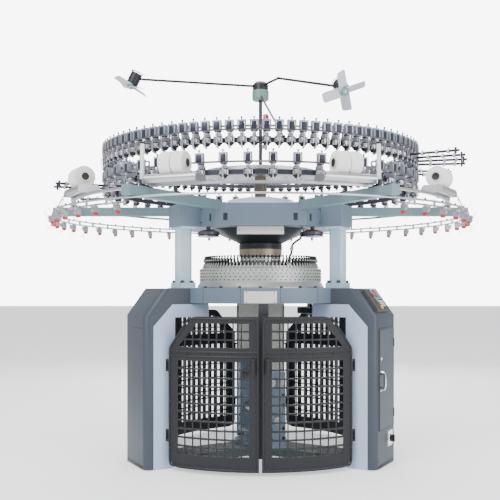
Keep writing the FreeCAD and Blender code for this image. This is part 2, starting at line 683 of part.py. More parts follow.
group("cam_boxes", ring_of(cam_box(), int(size("cam_count"))))
GUIDE_TOP, GUIDE_INNER, CARRIER_TOP = size("guide_top"), size("guide_inner"), size("carrier_top")
CARRIER = plate((
    (GUIDE_INNER - 15, GUIDE_TOP - 12), (GUIDE_INNER - 1, GUIDE_TOP - 12), (GUIDE_INNER - 1, GUIDE_TOP),
    (GUIDE_INNER + 21, GUIDE_TOP), (GUIDE_INNER + 31, CARRIER_TOP - 13), (GUIDE_INNER + 31, CARRIER_TOP),
    (GUIDE_INNER + 20, CARRIER_TOP), (GUIDE_INNER + 1, GUIDE_TOP + 18), (GUIDE_INNER - 15, GUIDE_TOP)),
    size("carrier_wide / 2"))
group("yarn_carriers", ring_of(CARRIER, int(size("carrier_count"))))


# Cylinder drive: gear, pinion with its shaft and pulley, belt, and the motor in the right leg.

def gear_shape(teeth, low, high, bore, flank_points, phase=0.0):
    """Spur gear with involute flanks, one tooth centred on +X and then turned by phase."""
    module = size("tooth_module")
    pitch = module * teeth / 2
    base_circle = pitch * math.cos(math.radians(20))
    root, tip = pitch - 1.25 * module, pitch + module

    def involute(radius):
        pressure = math.acos(min(1.0, base_circle / radius))
        return math.tan(pressure) - pressure
    thickness = math.pi / (2 * teeth) - size("backlash") / (2 * pitch)
    start = max(root, base_circle)
    radii = [start + (tip - start) * i / (flank_points - 1) for i in range(flank_points)]
    flank = [(radius, thickness + involute(pitch) - involute(radius)) for radius in radii]
    if root < start - 0.1:
        flank = [(root, flank[0][1])] + flank
    points = []
    for tooth in range(teeth):
        middle = 2 * math.pi * tooth / teeth + math.radians(phase)
        sides = [(radius, middle - half) for radius, half in flank]
        sides += [(radius, middle + half) for radius, half in reversed(flank)]
        points += [FreeCAD.Vector(radius * math.cos(turn), radius * math.sin(turn), low)
                   for radius, turn in sides]
    blank = Part.Face(Part.makePolygon(points + points[:1])).extrude(FreeCAD.Vector(0, 0, high - low))
    if bore:
        blank = blank.cut(Part.makeCylinder(bore, high - low, FreeCAD.Vector(0, 0, low)))
    return blank


GEAR_LOW = size("bed_bottom + bed_floor + part_gap")
group("cylinder_gear", gear_shape(
    int(size("gear_teeth")), GEAR_LOW, size("cylinder_seat"), size("cylinder_bore"), 2).Solids)

drive_shaft = new_body("drive_shaft")
revolve(drive_shaft, (
    ("0", "shaft_low"), ("pinion_shaft_radius", "shaft_low"), ("pinion_shaft_radius", "belt_low - 6"),
    ("driven_pulley + 5", "belt_low - 6"), ("driven_pulley + 5", "belt_low - part_gap"),
    ("driven_pulley", "belt_low - part_gap"), ("driven_pulley", "belt_low + belt_wide + part_gap"),
    ("driven_pulley + 5", "belt_low + belt_wide + part_gap"),
    ("driven_pulley + 5", "belt_low + belt_wide + 6"),
    ("pinion_shaft_radius", "belt_low + belt_wide + 6"), ("pinion_shaft_radius", "cylinder_seat"),
    ("0", "cylinder_seat")))
pinion = doc.addObject("Part::Feature", "pinion")
pinion.Shape = gear_shape(int(size("pinion_teeth")), GEAR_LOW + 3, size("cylinder_seat") - 3, 0, 4,
                          size("180 / pinion_teeth"))
pinion_shaft = doc.addObject("Part::Fuse", "pinion_shaft")
pinion_shaft.Base = drive_shaft
pinion_shaft.Tool = pinion
pinion_shaft.Placement = heading(DRIVE_HEADING, PINION_PLACE)
part(pinion_shaft, "pinion_shaft")

motor = new_body("motor_body")
revolve(motor, (
    ("0", "motor_low"), ("motor_radius - 12", "motor_low"), ("motor_radius - 4", "motor_low + 10"),
    ("motor_radius - 4", "motor_low + 70"), ("motor_radius", "motor_low + 76"),
    ("motor_radius", "motor_top - motor_plate"), ("19 + shaft_gap", "motor_top - motor_plate"),
    ("19 + shaft_gap", "motor_top - 60"), ("0", "motor_top - 60")))
motor.Placement = heading(0, size("motor_place"))
flange = box("motor_flange", ("casting_outer", "-casting_half", "motor_top - motor_plate"),
             ("motor_place + motor_radius", "casting_half", "motor_top"))
flange_bore = rod("motor_bore", "19 + shaft_gap", "motor_top - 70", "motor_top + 10")
bind(flange_bore, **{"Placement.Base.x": "motor_place + 0"})
bored_flange = cut_from("bored_flange", flange, flange_bore)
main_motor = doc.addObject("Part::Fuse", "main_motor")
main_motor.Base = motor
main_motor.Tool = bored_flange
main_motor.Placement = heading(DRIVE_HEADING)
part(main_motor, "main_motor")

motor_pulley = turned("motor_pulley", (
    ("0", "motor_top - 59"), ("19", "motor_top - 59"), ("19", "belt_low - 6"),
    ("motor_pulley_radius + 5", "belt_low - 6"), ("motor_pulley_radius + 5", "belt_low - part_gap"),
    ("motor_pulley_radius", "belt_low - part_gap"),
    ("motor_pulley_radius", "belt_low + belt_wide + part_gap"),
    ("motor_pulley_radius + 5", "belt_low + belt_wide + part_gap"),
    ("motor_pulley_radius + 5", "belt_low + belt_wide + 6"), ("0", "belt_low + belt_wide + 6")))
motor_pulley.Placement = heading(DRIVE_HEADING, size("motor_place"))


def belt_loop(extra):
    """Face inside a belt that runs round the two pulleys, at a distance outside their rims."""
    near, far = size("driven_pulley") + extra, size("motor_pulley_radius") + extra
    start, span = PINION_PLACE, size("motor_place") - PINION_PLACE
    lean = math.acos((near - far) / span)

    def rim(centre, radius, turn):
        return FreeCAD.Vector(centre + radius * math.cos(turn), radius * math.sin(turn), size("belt_low"))
    near_arc = Part.Arc(rim(start, near, lean), rim(start, near, math.pi), rim(start, near, -lean))
    far_arc = Part.Arc(rim(start + span, far, -lean), rim(start + span, far, 0), rim(start + span, far, lean))
    lower = Part.LineSegment(rim(start, near, -lean), rim(start + span, far, -lean))
    upper = Part.LineSegment(rim(start + span, far, lean), rim(start, near, lean))
    return Part.Face(Part.Wire([one.toShape() for one in (near_arc, lower, far_arc, upper)]))


belt_face = belt_loop(size("part_gap + belt_thick")).cut(belt_loop(size("part_gap")))
drive_belt = group("drive_belt", [belt_face.extrude(FreeCAD.Vector(0, 0, size("belt_wide")))])
drive_belt.Placement = heading(DRIVE_HEADING)


# Take-down: a frame that turns with the cylinder, with two pull rollers and a batch roller between its columns.

TAKEDOWN = heading(size("takedown_turn"))
turntable = rod("turntable", "turntable_radius", "base_height + part_gap", "base_height + turntable_high")
TABLE_TOP = "base_height + turntable_high"
bed_beam = box("takedown_beam", ("-takedown_place - takedown_thick / 2", "-takedown_half", TABLE_TOP),
               ("takedown_place + takedown_thick / 2", "takedown_half", TABLE_TOP + " + beam_high"))
uprights = [box("takedown_column_%d" % i,
                ("%s - takedown_thick / 2" % place, "-takedown_half", TABLE_TOP + " + beam_high"),
                ("%s + takedown_thick / 2" % place, "takedown_half", "takedown_top"))
            for i, place in enumerate(("-takedown_place", "takedown_place"))]
takedown_solid = doc.addObject("Part::MultiFuse", "takedown_solid")
takedown_solid.Shapes = [turntable, bed_beam] + uprights
takedown_solid.Refine = True
ROLLERS = (
    ("pull_roller_front", "-pull_radius - nip_gap / 2", "pull_height", "pull_radius"),
    ("pull_roller_rear", "pull_radius + nip_gap / 2", "pull_height", "pull_radius"),
    ("batch_roller", "0", "batch_height", "batch_radius"),
)
journal_holes = []
for name, across, up, radius in ROLLERS:
    hole = doc.addObject("Part::Cylinder", name + "_bearings")
    bind(hole, Radius="journal_radius + shaft_gap", Height="2 * takedown_place")
    hole.Placement = FreeCAD.Placement(
        FreeCAD.Vector(-size("takedown_place"), size(across), size(up)),
        FreeCAD.Rotation(FreeCAD.Vector(0, 1, 0), 90))
    journal_holes.append(hole)
takedown_frame = cut_from("takedown_frame", takedown_solid, *journal_holes)
takedown_frame.Placement = TAKEDOWN
part(takedown_frame, "takedown_frame")

for name, across, up, radius in ROLLERS:
    face = "(takedown_place - takedown_thick / 2 - part_gap)"
    tip = "(takedown_place - 5)"
    roller = new_body(name)
    revolve(roller, (
        ("0", "-" + tip), ("journal_radius", "-" + tip), ("journal_radius", "-" + face), (radius, "-" + face),
        (radius, face), ("journal_radius", face), ("journal_radius", tip), ("0", tip)))
    lying = FreeCAD.Placement(FreeCAD.Vector(0, size(across), size(up)),
                              FreeCAD.Rotation(FreeCAD.Vector(0, 1, 0), 90))
    roller.Placement = TAKEDOWN.multiply(lying)
    part(roller, name)

gear_case = box("gear_case", ("-takedown_place - 60", "-takedown_half", "takedown_top"),
                ("60 - takedown_place", "takedown_half + 15", "takedown_top + 62"))
rounded_case = doc.addObject("Part::Fillet", "takedown_gearbox")
rounded_case.Base = gear_case
doc.recompute()
rounded_case.Edges = [(i + 1, 12, 12) for i, edge in enumerate(gear_case.Shape.Edges)
                      if upright(edge) or edge.BoundBox.ZMin > size("takedown_top") + 1]
rounded_case.Placement = TAKEDOWN
part(rounded_case, "takedown_gearbox")


# Gates: curved leaves with a moulded grid, hinged on the legs' side panels.

GATE_CENTRE = FreeCAD.Vector(0, size("gate_centre"), 0)
GATE_TURN = math.radians(size("gate_turn"))
GATE_RADIUS = size("gate_radius")
HINGE = GATE_CENTRE + FreeCAD.Vector(GATE_RADIUS * math.sin(GATE_TURN), -GATE_RADIUS * math.cos(GATE_TURN), 0)
EDGE = HINGE.x - size("hinge_clear") * math.cos(GATE_TURN)
TOWARD_LEAF = FreeCAD.Placement(HINGE, FreeCAD.Rotation(FreeCAD.Vector(0, 0, 1), 180 + size("gate_turn")))
KNUCKLES = [(size(middle) - size("knuckle_long / 2"), size(middle) + size("knuckle_long / 2"))
            for middle in ("knuckle_low", "knuckle_high")]


def front_prism(points):
    """Solid on an outline seen from the front, long enough to pass through a gate."""
    corners = [FreeCAD.Vector(across, 0, up) for across, up in points]
    return Part.Face(Part.makePolygon(corners + corners[:1])).extrude(FreeCAD.Vector(0, -GATE_RADIUS, 0))


def slant(height):
    """Where the gate's cut corner is at a height."""
    return EDGE - size("gate_cut") * (height - size("gate_corner")) / size("gate_top - gate_corner")


def grid_cells(window, low, high, rows):
    """The openings of a moulded grid, kept inside a window."""
    left, right = size("gate_meet + frame_centre"), EDGE - size("frame_side")
    wide, tall = (right - left) / size("grid_across"), (high - low) / rows
    half_bar = size("grid_bar / 2")
    cells = [block((left + wide * i + half_bar, -GATE_RADIUS, low + tall * j + half_bar),
                   (left + wide * (i + 1) - half_bar, 0, low + tall * (j + 1) - half_bar))
             for i in range(int(size("grid_across"))) for j in range(rows)]
    return [opening for cell in cells for opening in cell.common(window).Solids if opening.Volume > 1e5]


def gate_leaf():
    """The right-hand front gate: rim, grid, pull handle and hinge knuckles in one moulding."""
    low, top, corner = size("gate_low"), size("gate_top"), size("gate_corner")
    meet = size("gate_meet")
    rim = front_prism(((meet, low), (EDGE, low), (EDGE, corner), (slant(top), top), (meet, top)))
    outer_edges = [edge for edge in rim.Edges if edge.BoundBox.YLength > 1 and edge.CenterOfMass.x > meet + 1]
    rim = rim.makeFillet(size("gate_round"), outer_edges)
    shells = [Part.makeCylinder(GATE_RADIUS + side * size("gate_thick / 2"), top, GATE_CENTRE)
              for side in (1, -1)]
    leaf = rim.common(shells[0].cut(shells[1]))
    left, right = size("gate_meet + frame_centre"), EDGE - size("frame_side")
    upper_low, upper_high = size("upper_low"), size("upper_high")
    lean = math.hypot(size("gate_cut"), size("gate_top - gate_corner")) / size("gate_top - gate_corner")
    inset = size("frame_side") * lean
    upper = front_prism(((left, upper_low), (min(right, slant(upper_low) - inset), upper_low),
                         (slant(upper_high) - inset, upper_high), (left, upper_high)))
    lower_low, lower_high = size("window_low"), size("window_high")
    lower = front_prism(((left, lower_low), (right, lower_low), (right, lower_high), (left, lower_high)))
    cells = grid_cells(lower, lower_low, lower_high, int(size("grid_rows")))
    cells += grid_cells(upper, upper_low, upper_high, int(size("grid_upper_rows")))
    leaf = leaf.cut(Part.makeCompound(cells))
    place, stand = size("handle_place"), size("handle_stand")
    face = size("gate_centre") - math.sqrt((GATE_RADIUS + size("gate_thick / 2")) ** 2 - place ** 2)
    grip_low, grip_high = size("handle_low"), size("handle_high")
    fittings = [bar((place, face - stand, grip_low), (place, face - stand, grip_high), 9)]
    fittings += [block((place - 9, face - stand, level - 9), (place + 9, face + 6, level + 9))
                 for level in (grip_low + 9, grip_high - 9)]
    for bottom, crest in KNUCKLES:
        barrel = Part.makeCylinder(size("knuckle_radius"), crest - bottom, FreeCAD.Vector(0, 0, bottom))
        web = block((4, -6, bottom), (size("hinge_clear") + 8, 6, crest))
        fittings.append(placed(barrel.fuse(web), TOWARD_LEAF))
    leaf = leaf.fuse(fittings).removeSplitter()
    return leaf.cut(Part.makeCylinder(size("pin_radius + part_gap"), size("gate_top"), HINGE))


def gate_bracket():
    """Hinge plates, ears and pins that hold the right-hand front gate to its leg."""
    leg_side_normal = FreeCAD.Rotation(FreeCAD.Vector(0, 0, 1),
                                       DRIVE_HEADING - 90).multVec(FreeCAD.Vector(1, 0, 0))
    reach = HINGE.dot(leg_side_normal) - size("leg_half")
    toward_leg = FreeCAD.Placement(HINGE, FreeCAD.Rotation(FreeCAD.Vector(0, 0, 1), DRIVE_HEADING + 90))
    ear, gap = 12, size("part_gap")
    brackets = []
    for bottom, crest in KNUCKLES:
        pieces = [block((reach - 4, -16, bottom - ear), (reach, 16, crest + ear)),
                  Part.makeCylinder(size("pin_radius"), crest - bottom + 2 * ear,
                                    FreeCAD.Vector(0, 0, bottom - ear))]
        for low, high in ((bottom - ear, bottom - gap), (crest + gap, crest + ear)):
            pieces.append(Part.makeCylinder(size("knuckle_radius"), high - low, FreeCAD.Vector(0, 0, low)))
            pieces.append(block((0, -8, low), (reach, 8, high)))
        bracket = pieces[0].fuse(pieces[1:]).removeSplitter()
        brackets += placed(bracket, toward_leg).Solids
    return brackets


gate_right = doc.addObject("Part::Feature", "gate_right")
gate_right.Shape = gate_leaf()
part(gate_right, "gate_right")
gate_left = doc.addObject("Part::Mirroring", "gate_left")
gate_left.Source = gate_right
gate_left.Normal = FreeCAD.Vector(1, 0, 0)
part(gate_left, "gate_left")
doc.recompute()
leaf_pair = [gate_right.Shape.Solids[0], gate_left.Shape.Solids[0]]
REAR_TURNS = (size("leg_turn"), 2 * size("leg_turn"))
group("rear_guards", [placed(leaf, heading(turn)) for turn in REAR_TURNS for leaf in leaf_pair])
bracket_pair = gate_bracket()
bracket_pair += [one.mirror(FreeCAD.Vector(0, 0, 0), FreeCAD.Vector(1, 0, 0)) for one in bracket_pair]
gate_fittings = [placed(one, heading(turn)) for turn in (0,) + REAR_TURNS for one in bracket_pair]
gate_fittings.append(block((-15, -size("bed_radius") + 8, size("post_low")),
                           (55, -size("bed_radius") + 38, size("bed_bottom"))))
group("gate_fittings", gate_fittings)


# Cabinet on the right leg: door with its handle, main switch, and the control panel on the sloped top.

right_leg = heading(DRIVE_HEADING)
OUTER = size("leg_outer")
DOOR_HINGES = (330, 830)
DOOR_BACK = OUTER + size("part_gap")
door = block((DOOR_BACK, -size("door_half"), size("door_low")),
             (DOOR_BACK + size("door_thick"), size("door_half"), size("door_high")))
door = door.makeFillet(4, [edge for edge in door.Edges
                           if edge.BoundBox.XLength > 1])
DOOR_FACE = DOOR_BACK + size("door_thick")
grip = bar((DOOR_FACE + 26, -115, 557), (DOOR_FACE + 26, -115, 660), 7)
stands = [block((DOOR_FACE - 1, -122, level), (DOOR_FACE + 26, -108, level + 12)) for level in (557, 648)]
hinges = [Part.makeCylinder(size("door_thick"), size("knuckle_long"),
                            FreeCAD.Vector(DOOR_FACE, size("door_half"), low))
          for low in DOOR_HINGES]
cabinet_door = group("cabinet_door", door.fuse([grip] + stands + hinges).removeSplitter().Solids)
cabinet_door.Placement = right_leg

switch_centre = FreeCAD.Vector(OUTER + size("part_gap"), 80, 184)
knob = Part.makeCylinder(size("switch_radius"), 14, switch_centre, FreeCAD.Vector(1, 0, 0))
lever = block((OUTER + 10, 80 - 6, 184 - size("switch_radius")),
              (OUTER + 34, 80 + 6, 184 + size("switch_radius")))
main_switch = group("main_switch", knob.fuse(lever).removeSplitter().Solids)
main_switch.Placement = right_leg

slope_run = size("leg_outer - slope_inner")
slope_rise = size("leg_top - slope_start")
slope_lean = math.degrees(math.atan2(slope_rise, slope_run))
slope_middle = FreeCAD.Vector(OUTER - slope_run / 2, 0, size("slope_start") + slope_rise / 2)
tilt = FreeCAD.Rotation(FreeCAD.Vector(0, 1, 0), slope_lean)
across_first = FreeCAD.Rotation(FreeCAD.Vector(0, 0, 1), 90)
PANEL_PLACE = right_leg.multiply(FreeCAD.Placement(slope_middle, tilt.multiply(across_first)))
BUTTONS = (("stop_button", 45), ("start_button", -10), ("jog_button", -65))
BUTTON_ACROSS = -15 - size("panel_shift")
PANEL_TOP = size("panel_thick")
WELL = size("button_travel") + 13
panel_box = block((-size("panel_wide / 2 + panel_shift"), -size("panel_deep / 2"), 0),
                  (size("panel_wide / 2 - panel_shift"), size("panel_deep / 2"), PANEL_TOP))
panel_box = panel_box.makeFillet(8, [edge for edge in panel_box.Edges if upright(edge)])
panel_box = panel_box.makeChamfer(3,
                                  [edge for edge in panel_box.Edges if edge.BoundBox.ZMin > PANEL_TOP - 0.1])
wells = [Part.makeCylinder(size("button_radius + part_gap"), WELL + 1,
                           FreeCAD.Vector(BUTTON_ACROSS, along, PANEL_TOP - WELL))
         for name, along in BUTTONS]
control_panel = group("control_panel", panel_box.cut(wells).Solids)
control_panel.Placement = PANEL_PLACE
for name, along in BUTTONS:
    cap_height = WELL - size("button_travel") - size("part_gap") + size("button_proud")
    cap = Part.makeCylinder(size("button_radius"), cap_height,
                            FreeCAD.Vector(BUTTON_ACROSS, along,
                                           PANEL_TOP + size("button_proud") - cap_height))
    cap = cap.makeFillet(2.5, [edge for edge in cap.Edges if edge.BoundBox.ZMin > PANEL_TOP])
    button = group(name, cap.Solids)
    button.Placement = PANEL_PLACE


# Top: tape wheel, fan pole with its stay, gearbox, turning arms, fans, signal tower and work lamps.

turned("tape_wheel", (
    ("pole_radius + shaft_gap", "disc_low"), ("60", "disc_low"), ("80", "disc_low + 10"),
    ("disc_radius - 20", "disc_low + 10"),
    ("disc_radius - 10", "disc_low"), ("disc_radius", "disc_low"), ("disc_radius", "disc_low + disc_thick"),
    ("disc_radius - 10", "disc_low + disc_thick"), ("disc_radius - 20", "disc_low + 16"),
    ("80", "disc_low + 16"),
    ("60", "disc_low + disc_thick + 20"), ("pole_radius + shaft_gap", "disc_low + disc_thick + 20")))
POLE_TOP, RING_TOP = size("pole_top"), size("upper_ring")
RING_MIDDLE = size("(ring_inner + ring_outer) / 2")
pole = turned_shape((
    (0, size("crown_top")), (size("pole_foot"), size("crown_top")),
    (size("pole_foot"), size("disc_low - part_gap")),
    (size("pole_radius"), size("disc_low - part_gap")), (size("pole_radius"), POLE_TOP), (0, POLE_TOP)))
STAY_HEADING = -82.5
stay = bar((size("gearbox_radius") - 10, 0, POLE_TOP + 24), (RING_MIDDLE, 0, RING_TOP + 6), 4)
stay = stay.cut(Part.makeCylinder(size("gearbox_radius"), 200, FreeCAD.Vector(0, 0, POLE_TOP - 100)))
stay_foot = Part.makeCylinder(9, 14, FreeCAD.Vector(RING_MIDDLE, 0, RING_TOP))
group("fan_pole", [pole, placed(stay.fuse(stay_foot), heading(STAY_HEADING)).Solids[0]])
turned("fan_gearbox", (
    ("0", "pole_top"), ("gearbox_radius - 8", "pole_top"), ("gearbox_radius", "pole_top + 8"),
    ("gearbox_radius", "pole_top + gearbox_high - 6"), ("gearbox_radius - 6", "pole_top + gearbox_high"),
    ("0", "pole_top + gearbox_high")))

TURRET_LOW = size("pole_top + gearbox_high + part_gap")
TURRET_TOP = size("turret_top")
ARM_HEIGHT = (TURRET_LOW + TURRET_TOP) / 2
FAN_HALF = 15
FANS = {
    "left": (FreeCAD.Vector(-997, 0, 2802), FreeCAD.Vector(-0.42, 0, -0.9).normalize()),
    "right": (FreeCAD.Vector(552, -823, 2552), FreeCAD.Vector(0.25, -0.72, -0.65).normalize()),
}


def fan_motor(side):
    """Motor behind a fan, and its middle, where the arm meets it."""
    centre, nose = FANS[side]
    long = size("fan_motor_long")
    front = centre - nose * (FAN_HALF + size("part_gap"))
    casing = Part.makeCylinder(size("fan_motor_radius"), long, front, nose * -1)
    return casing.makeFillet(8,
                             [edge for edge in casing.Edges if edge.Length > 200]), front - nose * (long / 2)


def fan_blades(side):
    """Hub with paddle blades, turned to face along the fan's axis."""
    centre, nose = FANS[side]
    hub_radius, reach, wide = 24, size("fan_reach"), 68
    blade = block((hub_radius - 8, -wide / 2, -1.5), (reach, wide / 2, 1.5))
    blade = blade.makeFillet(16, [edge for edge in blade.Edges
                                  if edge.BoundBox.ZLength > 1 and edge.BoundBox.XMin > reach - 1])
    blade.rotate(FreeCAD.Vector(0, 0, 0), FreeCAD.Vector(1, 0, 0), 24)
    hub_piece = Part.makeCylinder(hub_radius, 2 * FAN_HALF, FreeCAD.Vector(0, 0, -FAN_HALF))
    fan = hub_piece.fuse(ring_of(blade, int(size("blade_count")), 45)).removeSplitter()
    return placed(fan, FreeCAD.Placement(centre, FreeCAD.Rotation(FreeCAD.Vector(0, 0, 1), nose)))


turret = turned_shape(((0, TURRET_LOW), (60, TURRET_LOW), (60, TURRET_TOP - 20), (40, TURRET_TOP),
                       (0, TURRET_TOP)))
left_motor, left_middle = fan_motor("left")
right_motor, right_middle = fan_motor("right")
sweep = FreeCAD.Vector(right_middle.x, right_middle.y, 0).normalize()
elbow = sweep * 234 + FreeCAD.Vector(0, 0, ARM_HEIGHT + 12)
hub_middle = FreeCAD.Vector(0, 0, ARM_HEIGHT)
FAN_ROD = size("fan_rod")
arms = turret.fuse([bar(hub_middle, left_middle, FAN_ROD), bar(hub_middle, elbow, FAN_ROD),
                    Part.makeSphere(FAN_ROD + 3, elbow), bar(elbow, right_middle, FAN_ROD)])
arms = arms.cut([left_motor, right_motor])
arms = max(arms.Solids, key=lambda one: one.Volume)
group("fan_arms", [arms, left_motor, right_motor])
for fan_side in ("left", "right"):
    group("fan_blades_" + fan_side, fan_blades(fan_side).Solids)

TOWER, TOWER_RADIUS = size("tower_place"), size("tower_radius")
tower = turned_shape((
    (0, 2310), (10, 2310), (10, 2398), (TOWER_RADIUS, 2398), (TOWER_RADIUS, 2450), (20, 2450), (20, 2478),
    (TOWER_RADIUS, 2478), (TOWER_RADIUS, 2529), (20, 2529), (20, 2533), (TOWER_RADIUS, 2533),
    (TOWER_RADIUS, 2580), (TOWER_RADIUS - 4, 2584), (0, 2584)))
tower = placed(tower, heading(0, TOWER)).fuse(block((0, -8, 2320), (TOWER, 8, 2350)))
tower = tower.cut(Part.makeCylinder(size("pole_radius"), POLE_TOP))
group("signal_tower", [max(tower.Solids, key=lambda one: one.Volume)])

CROWN_LOW, LAMP = size("crown_bottom"), size("lamp_radius")
lamp = turned_shape((
    (0, CROWN_LOW - 70), (LAMP - 22, CROWN_LOW - 70), (LAMP, CROWN_LOW - 54), (LAMP, CROWN_LOW - 34),
    (LAMP - 30, CROWN_LOW - 20), (16, CROWN_LOW - 16), (16, CROWN_LOW), (0, CROWN_LOW)))
group("work_lamps", [placed(lamp, heading(angle, size("lamp_place"))) for angle in (-38.3, -141.7)])


# Creel: radial arms on the crown, two feeder rings on posts, and a ring of stop motions below.

creel_arms = []
CREEL_HEADINGS = [360.0 * i / size("creel_count") for i in range(int(size("creel_count")))]
for number, turn in enumerate(CREEL_HEADINGS):
    arm = doc.addObject("Part::Box", "arm_block_%d" % number)
    bind(arm, Length="arm_reach - arm_root", Width="arm_wide", Height="arm_high - arm_low")
    root = FreeCAD.Vector(size("arm_root"), -size("arm_wide / 2"), size("arm_low"))
    arm.Placement = heading(turn).multiply(FreeCAD.Placement(root, FreeCAD.Rotation()))
    creel_arms.append(cut_from("creel_arm_%d" % number, arm, crown))
arms_group = doc.addObject("Part::Compound", "creel_arms")
arms_group.Links = creel_arms
part(arms_group, "creel_arms")


def flat_ring(inner, outer, low, high):
    """Ring of rectangular section."""
    return turned_shape(((inner, low), (outer, low), (outer, high), (inner, high)))


RING_IN, RING_OUT, RING_HIGH = size("ring_inner"), size("ring_outer"), size("ring_high")
LOWER_TOP, ARM_TOP = size("lower_ring"), size("arm_high")
POST = size("post_radius")
cage_post = Part.makeCylinder(POST, RING_TOP - ARM_TOP, FreeCAD.Vector(RING_IN - POST + 4, 0, ARM_TOP))


def guide_rod(level):
    """Radial yarn guide rod on the outside of a feeder ring, with a cross clamp at its end."""
    reach = size("rod_reach")
    return bar((RING_OUT - 6, 0, level), (reach, 0, level), 5).fuse(
        bar((reach - 20, 0, level - 22), (reach - 20, 0, level + 22), 8))


rods = [placed(guide_rod(RING_TOP - 15), heading(turn)) for turn in (-30, -22.5, -15, -7.5, 7.5, 15)]
rods += [placed(guide_rod(LOWER_TOP - 15), heading(turn)) for turn in (165, 195, 202.5)]
cage = flat_ring(RING_IN, RING_OUT, RING_TOP - RING_HIGH, RING_TOP).fuse(
    [flat_ring(RING_IN, RING_OUT, LOWER_TOP - RING_HIGH, LOWER_TOP)]
    + [placed(cage_post, heading(turn)) for turn in CREEL_HEADINGS] + rods)
white_post = Part.makeCylinder(POST, size("post_top") - ARM_TOP,
                               FreeCAD.Vector(size("post_place"), 0, ARM_TOP))
group("creel_cage", cage.Solids + [placed(white_post, heading(turn)) for turn in CREEL_HEADINGS])


# Feeders: a housing clamped on the ring with a thread bracket, and a spindle with pulleys and a yarn wheel.

FEEDER_AXIS, FEEDER_HALF = size("feeder_axis"), size("feeder_half")
SPINDLE = size("spindle_radius")


def feeder_body(top):
    """Housing on top of a ring, a bracket over the pulleys and a hook below."""
    front, back = FEEDER_AXIS + 30, RING_IN
    housing = plate(((back, top), (FEEDER_AXIS + 24, top), (FEEDER_AXIS + 24, top + 22),
                     (FEEDER_AXIS + 12, top + 29),
                     (back + 14, top + 29), (back, top + 22)), FEEDER_HALF)
    bracket = plate((
        (back, top + 10), (back + 9, top + 10), (back + 9, top + 88), (front - 7, top + 88),
        (front - 7, top + 76),
        (front, top + 76), (front, top + 108), (front - 5, top + 108), (front - 7, top + 97),
        (back, top + 97)), 4)
    hook = plate((
        (FEEDER_AXIS + 20, top + 2), (FEEDER_AXIS + 20, top + 10), (front + 2, top + 10),
        (front + 2, top - 60),
        (FEEDER_AXIS + 8, top - 71), (FEEDER_AXIS - 6, top - 71), (FEEDER_AXIS - 6, top - 62),
        (FEEDER_AXIS + 8, top - 60), (front - 3, top - 50), (front - 3, top + 2)), 4)
    spindle_hole = Part.makeCylinder(SPINDLE + 0.2, 60, FreeCAD.Vector(FEEDER_AXIS, 0, top - 10))
    return housing.fuse([bracket, hook]).removeSplitter().cut(spindle_hole)


def feeder_wheel(top, pulleys):
    """Spindle with a waisted yarn wheel under the ring's level and one or two tape pulleys above."""
    wheel, pulley = size("wheel_radius"), size("pulley_radius")
    points = [(0, top - 42), (8, top - 42), (10, top - 38), (wheel - 2, top - 38), (wheel, top - 36),
              (wheel - 6, top - 28), (wheel - 6, top - 12), (wheel - 2, top - 1), (SPINDLE, top - 1)]
    for number in range(pulleys):
        low = top + 32 + 20 * number
        points += [(SPINDLE, low), (pulley, low), (pulley, low + 16), (SPINDLE, low + 16)]
    points += [(SPINDLE, top + 32 + 20 * pulleys), (0, top + 32 + 20 * pulleys)]
    return placed(turned_shape(points), heading(0, FEEDER_AXIS))


ROWS = ((RING_TOP, int(size("upper_feeders")), 2), (LOWER_TOP, int(size("lower_feeders")), 1))
bodies, wheels, tapes = [], [], []
TAPE_IN = FEEDER_AXIS + size("pulley_radius + part_gap / 2")
for ring_level, count, pulleys in ROWS:
    bodies += ring_of(feeder_body(ring_level), count, 180.0 / count)
    wheels += ring_of(feeder_wheel(ring_level, pulleys), count, 180.0 / count)
    for number in range(pulleys):
        tape_low = ring_level + 33.5 + 20 * number
        tapes.append(flat_ring(TAPE_IN, TAPE_IN + size("tape_thick"), tape_low, tape_low + size("tape_wide")))
group("feeder_bodies", bodies)
group("feeder_wheels", wheels)
group("drive_tapes", tapes)

STOP_RING_LOW, STOP_LOW = size("outer_ring_low"), size("stop_low")
stop_ring = flat_ring(size("outer_ring_inner"), size("outer_ring_outer"), STOP_RING_LOW, size("arm_low"))
STOP_IN, STOP_OUT = size("outer_ring_inner - 8"), size("stop_reach")
stop_unit = plate((
    (STOP_IN, STOP_LOW), (STOP_OUT, STOP_LOW), (STOP_OUT, STOP_LOW + 30), (STOP_OUT - 40, STOP_RING_LOW - 16),
    (STOP_OUT - 40, STOP_RING_LOW), (STOP_IN, STOP_RING_LOW)), size("stop_half"))
group("stop_units", ring_of(stop_unit, int(size("stop_count")), 180 / size("stop_count")))


# Elastane units: two rollers between brackets on the package ring, with a double package lying on them.

SUPPORT_IN, SUPPORT_OUT = size("support_inner"), size("support_outer")
SUPPORT_MIDDLE = (SUPPORT_IN + SUPPORT_OUT) / 2
ROLLER, SPREAD, ROLLER_UP = size("roller_radius"), size("roller_spread"), size("roller_height")
ROLLER_HALF = size("roller_half")
PACKAGE = size("package_radius")
PACKAGE_UP = ROLLER_UP + math.sqrt((ROLLER + PACKAGE + size("part_gap")) ** 2 - SPREAD ** 2)
UNITS = {
    "left_outer": -90 - size("unit_turn_wide"), "left_inner": -90 - size("unit_turn"),
    "right_inner": -90 + size("unit_turn"), "right_outer": -90 + size("unit_turn_wide"),
}
cheek = plate((
    (SUPPORT_IN, ARM_TOP + 3), (SUPPORT_OUT, ARM_TOP + 3), (SUPPORT_MIDDLE + 80, ROLLER_UP - 15),
    (SUPPORT_MIDDLE + 80, ROLLER_UP + 20), (SUPPORT_MIDDLE - 80, ROLLER_UP + 20),
    (SUPPORT_MIDDLE - 80, ROLLER_UP - 15)), 4)
cheeks, rollers = [], []
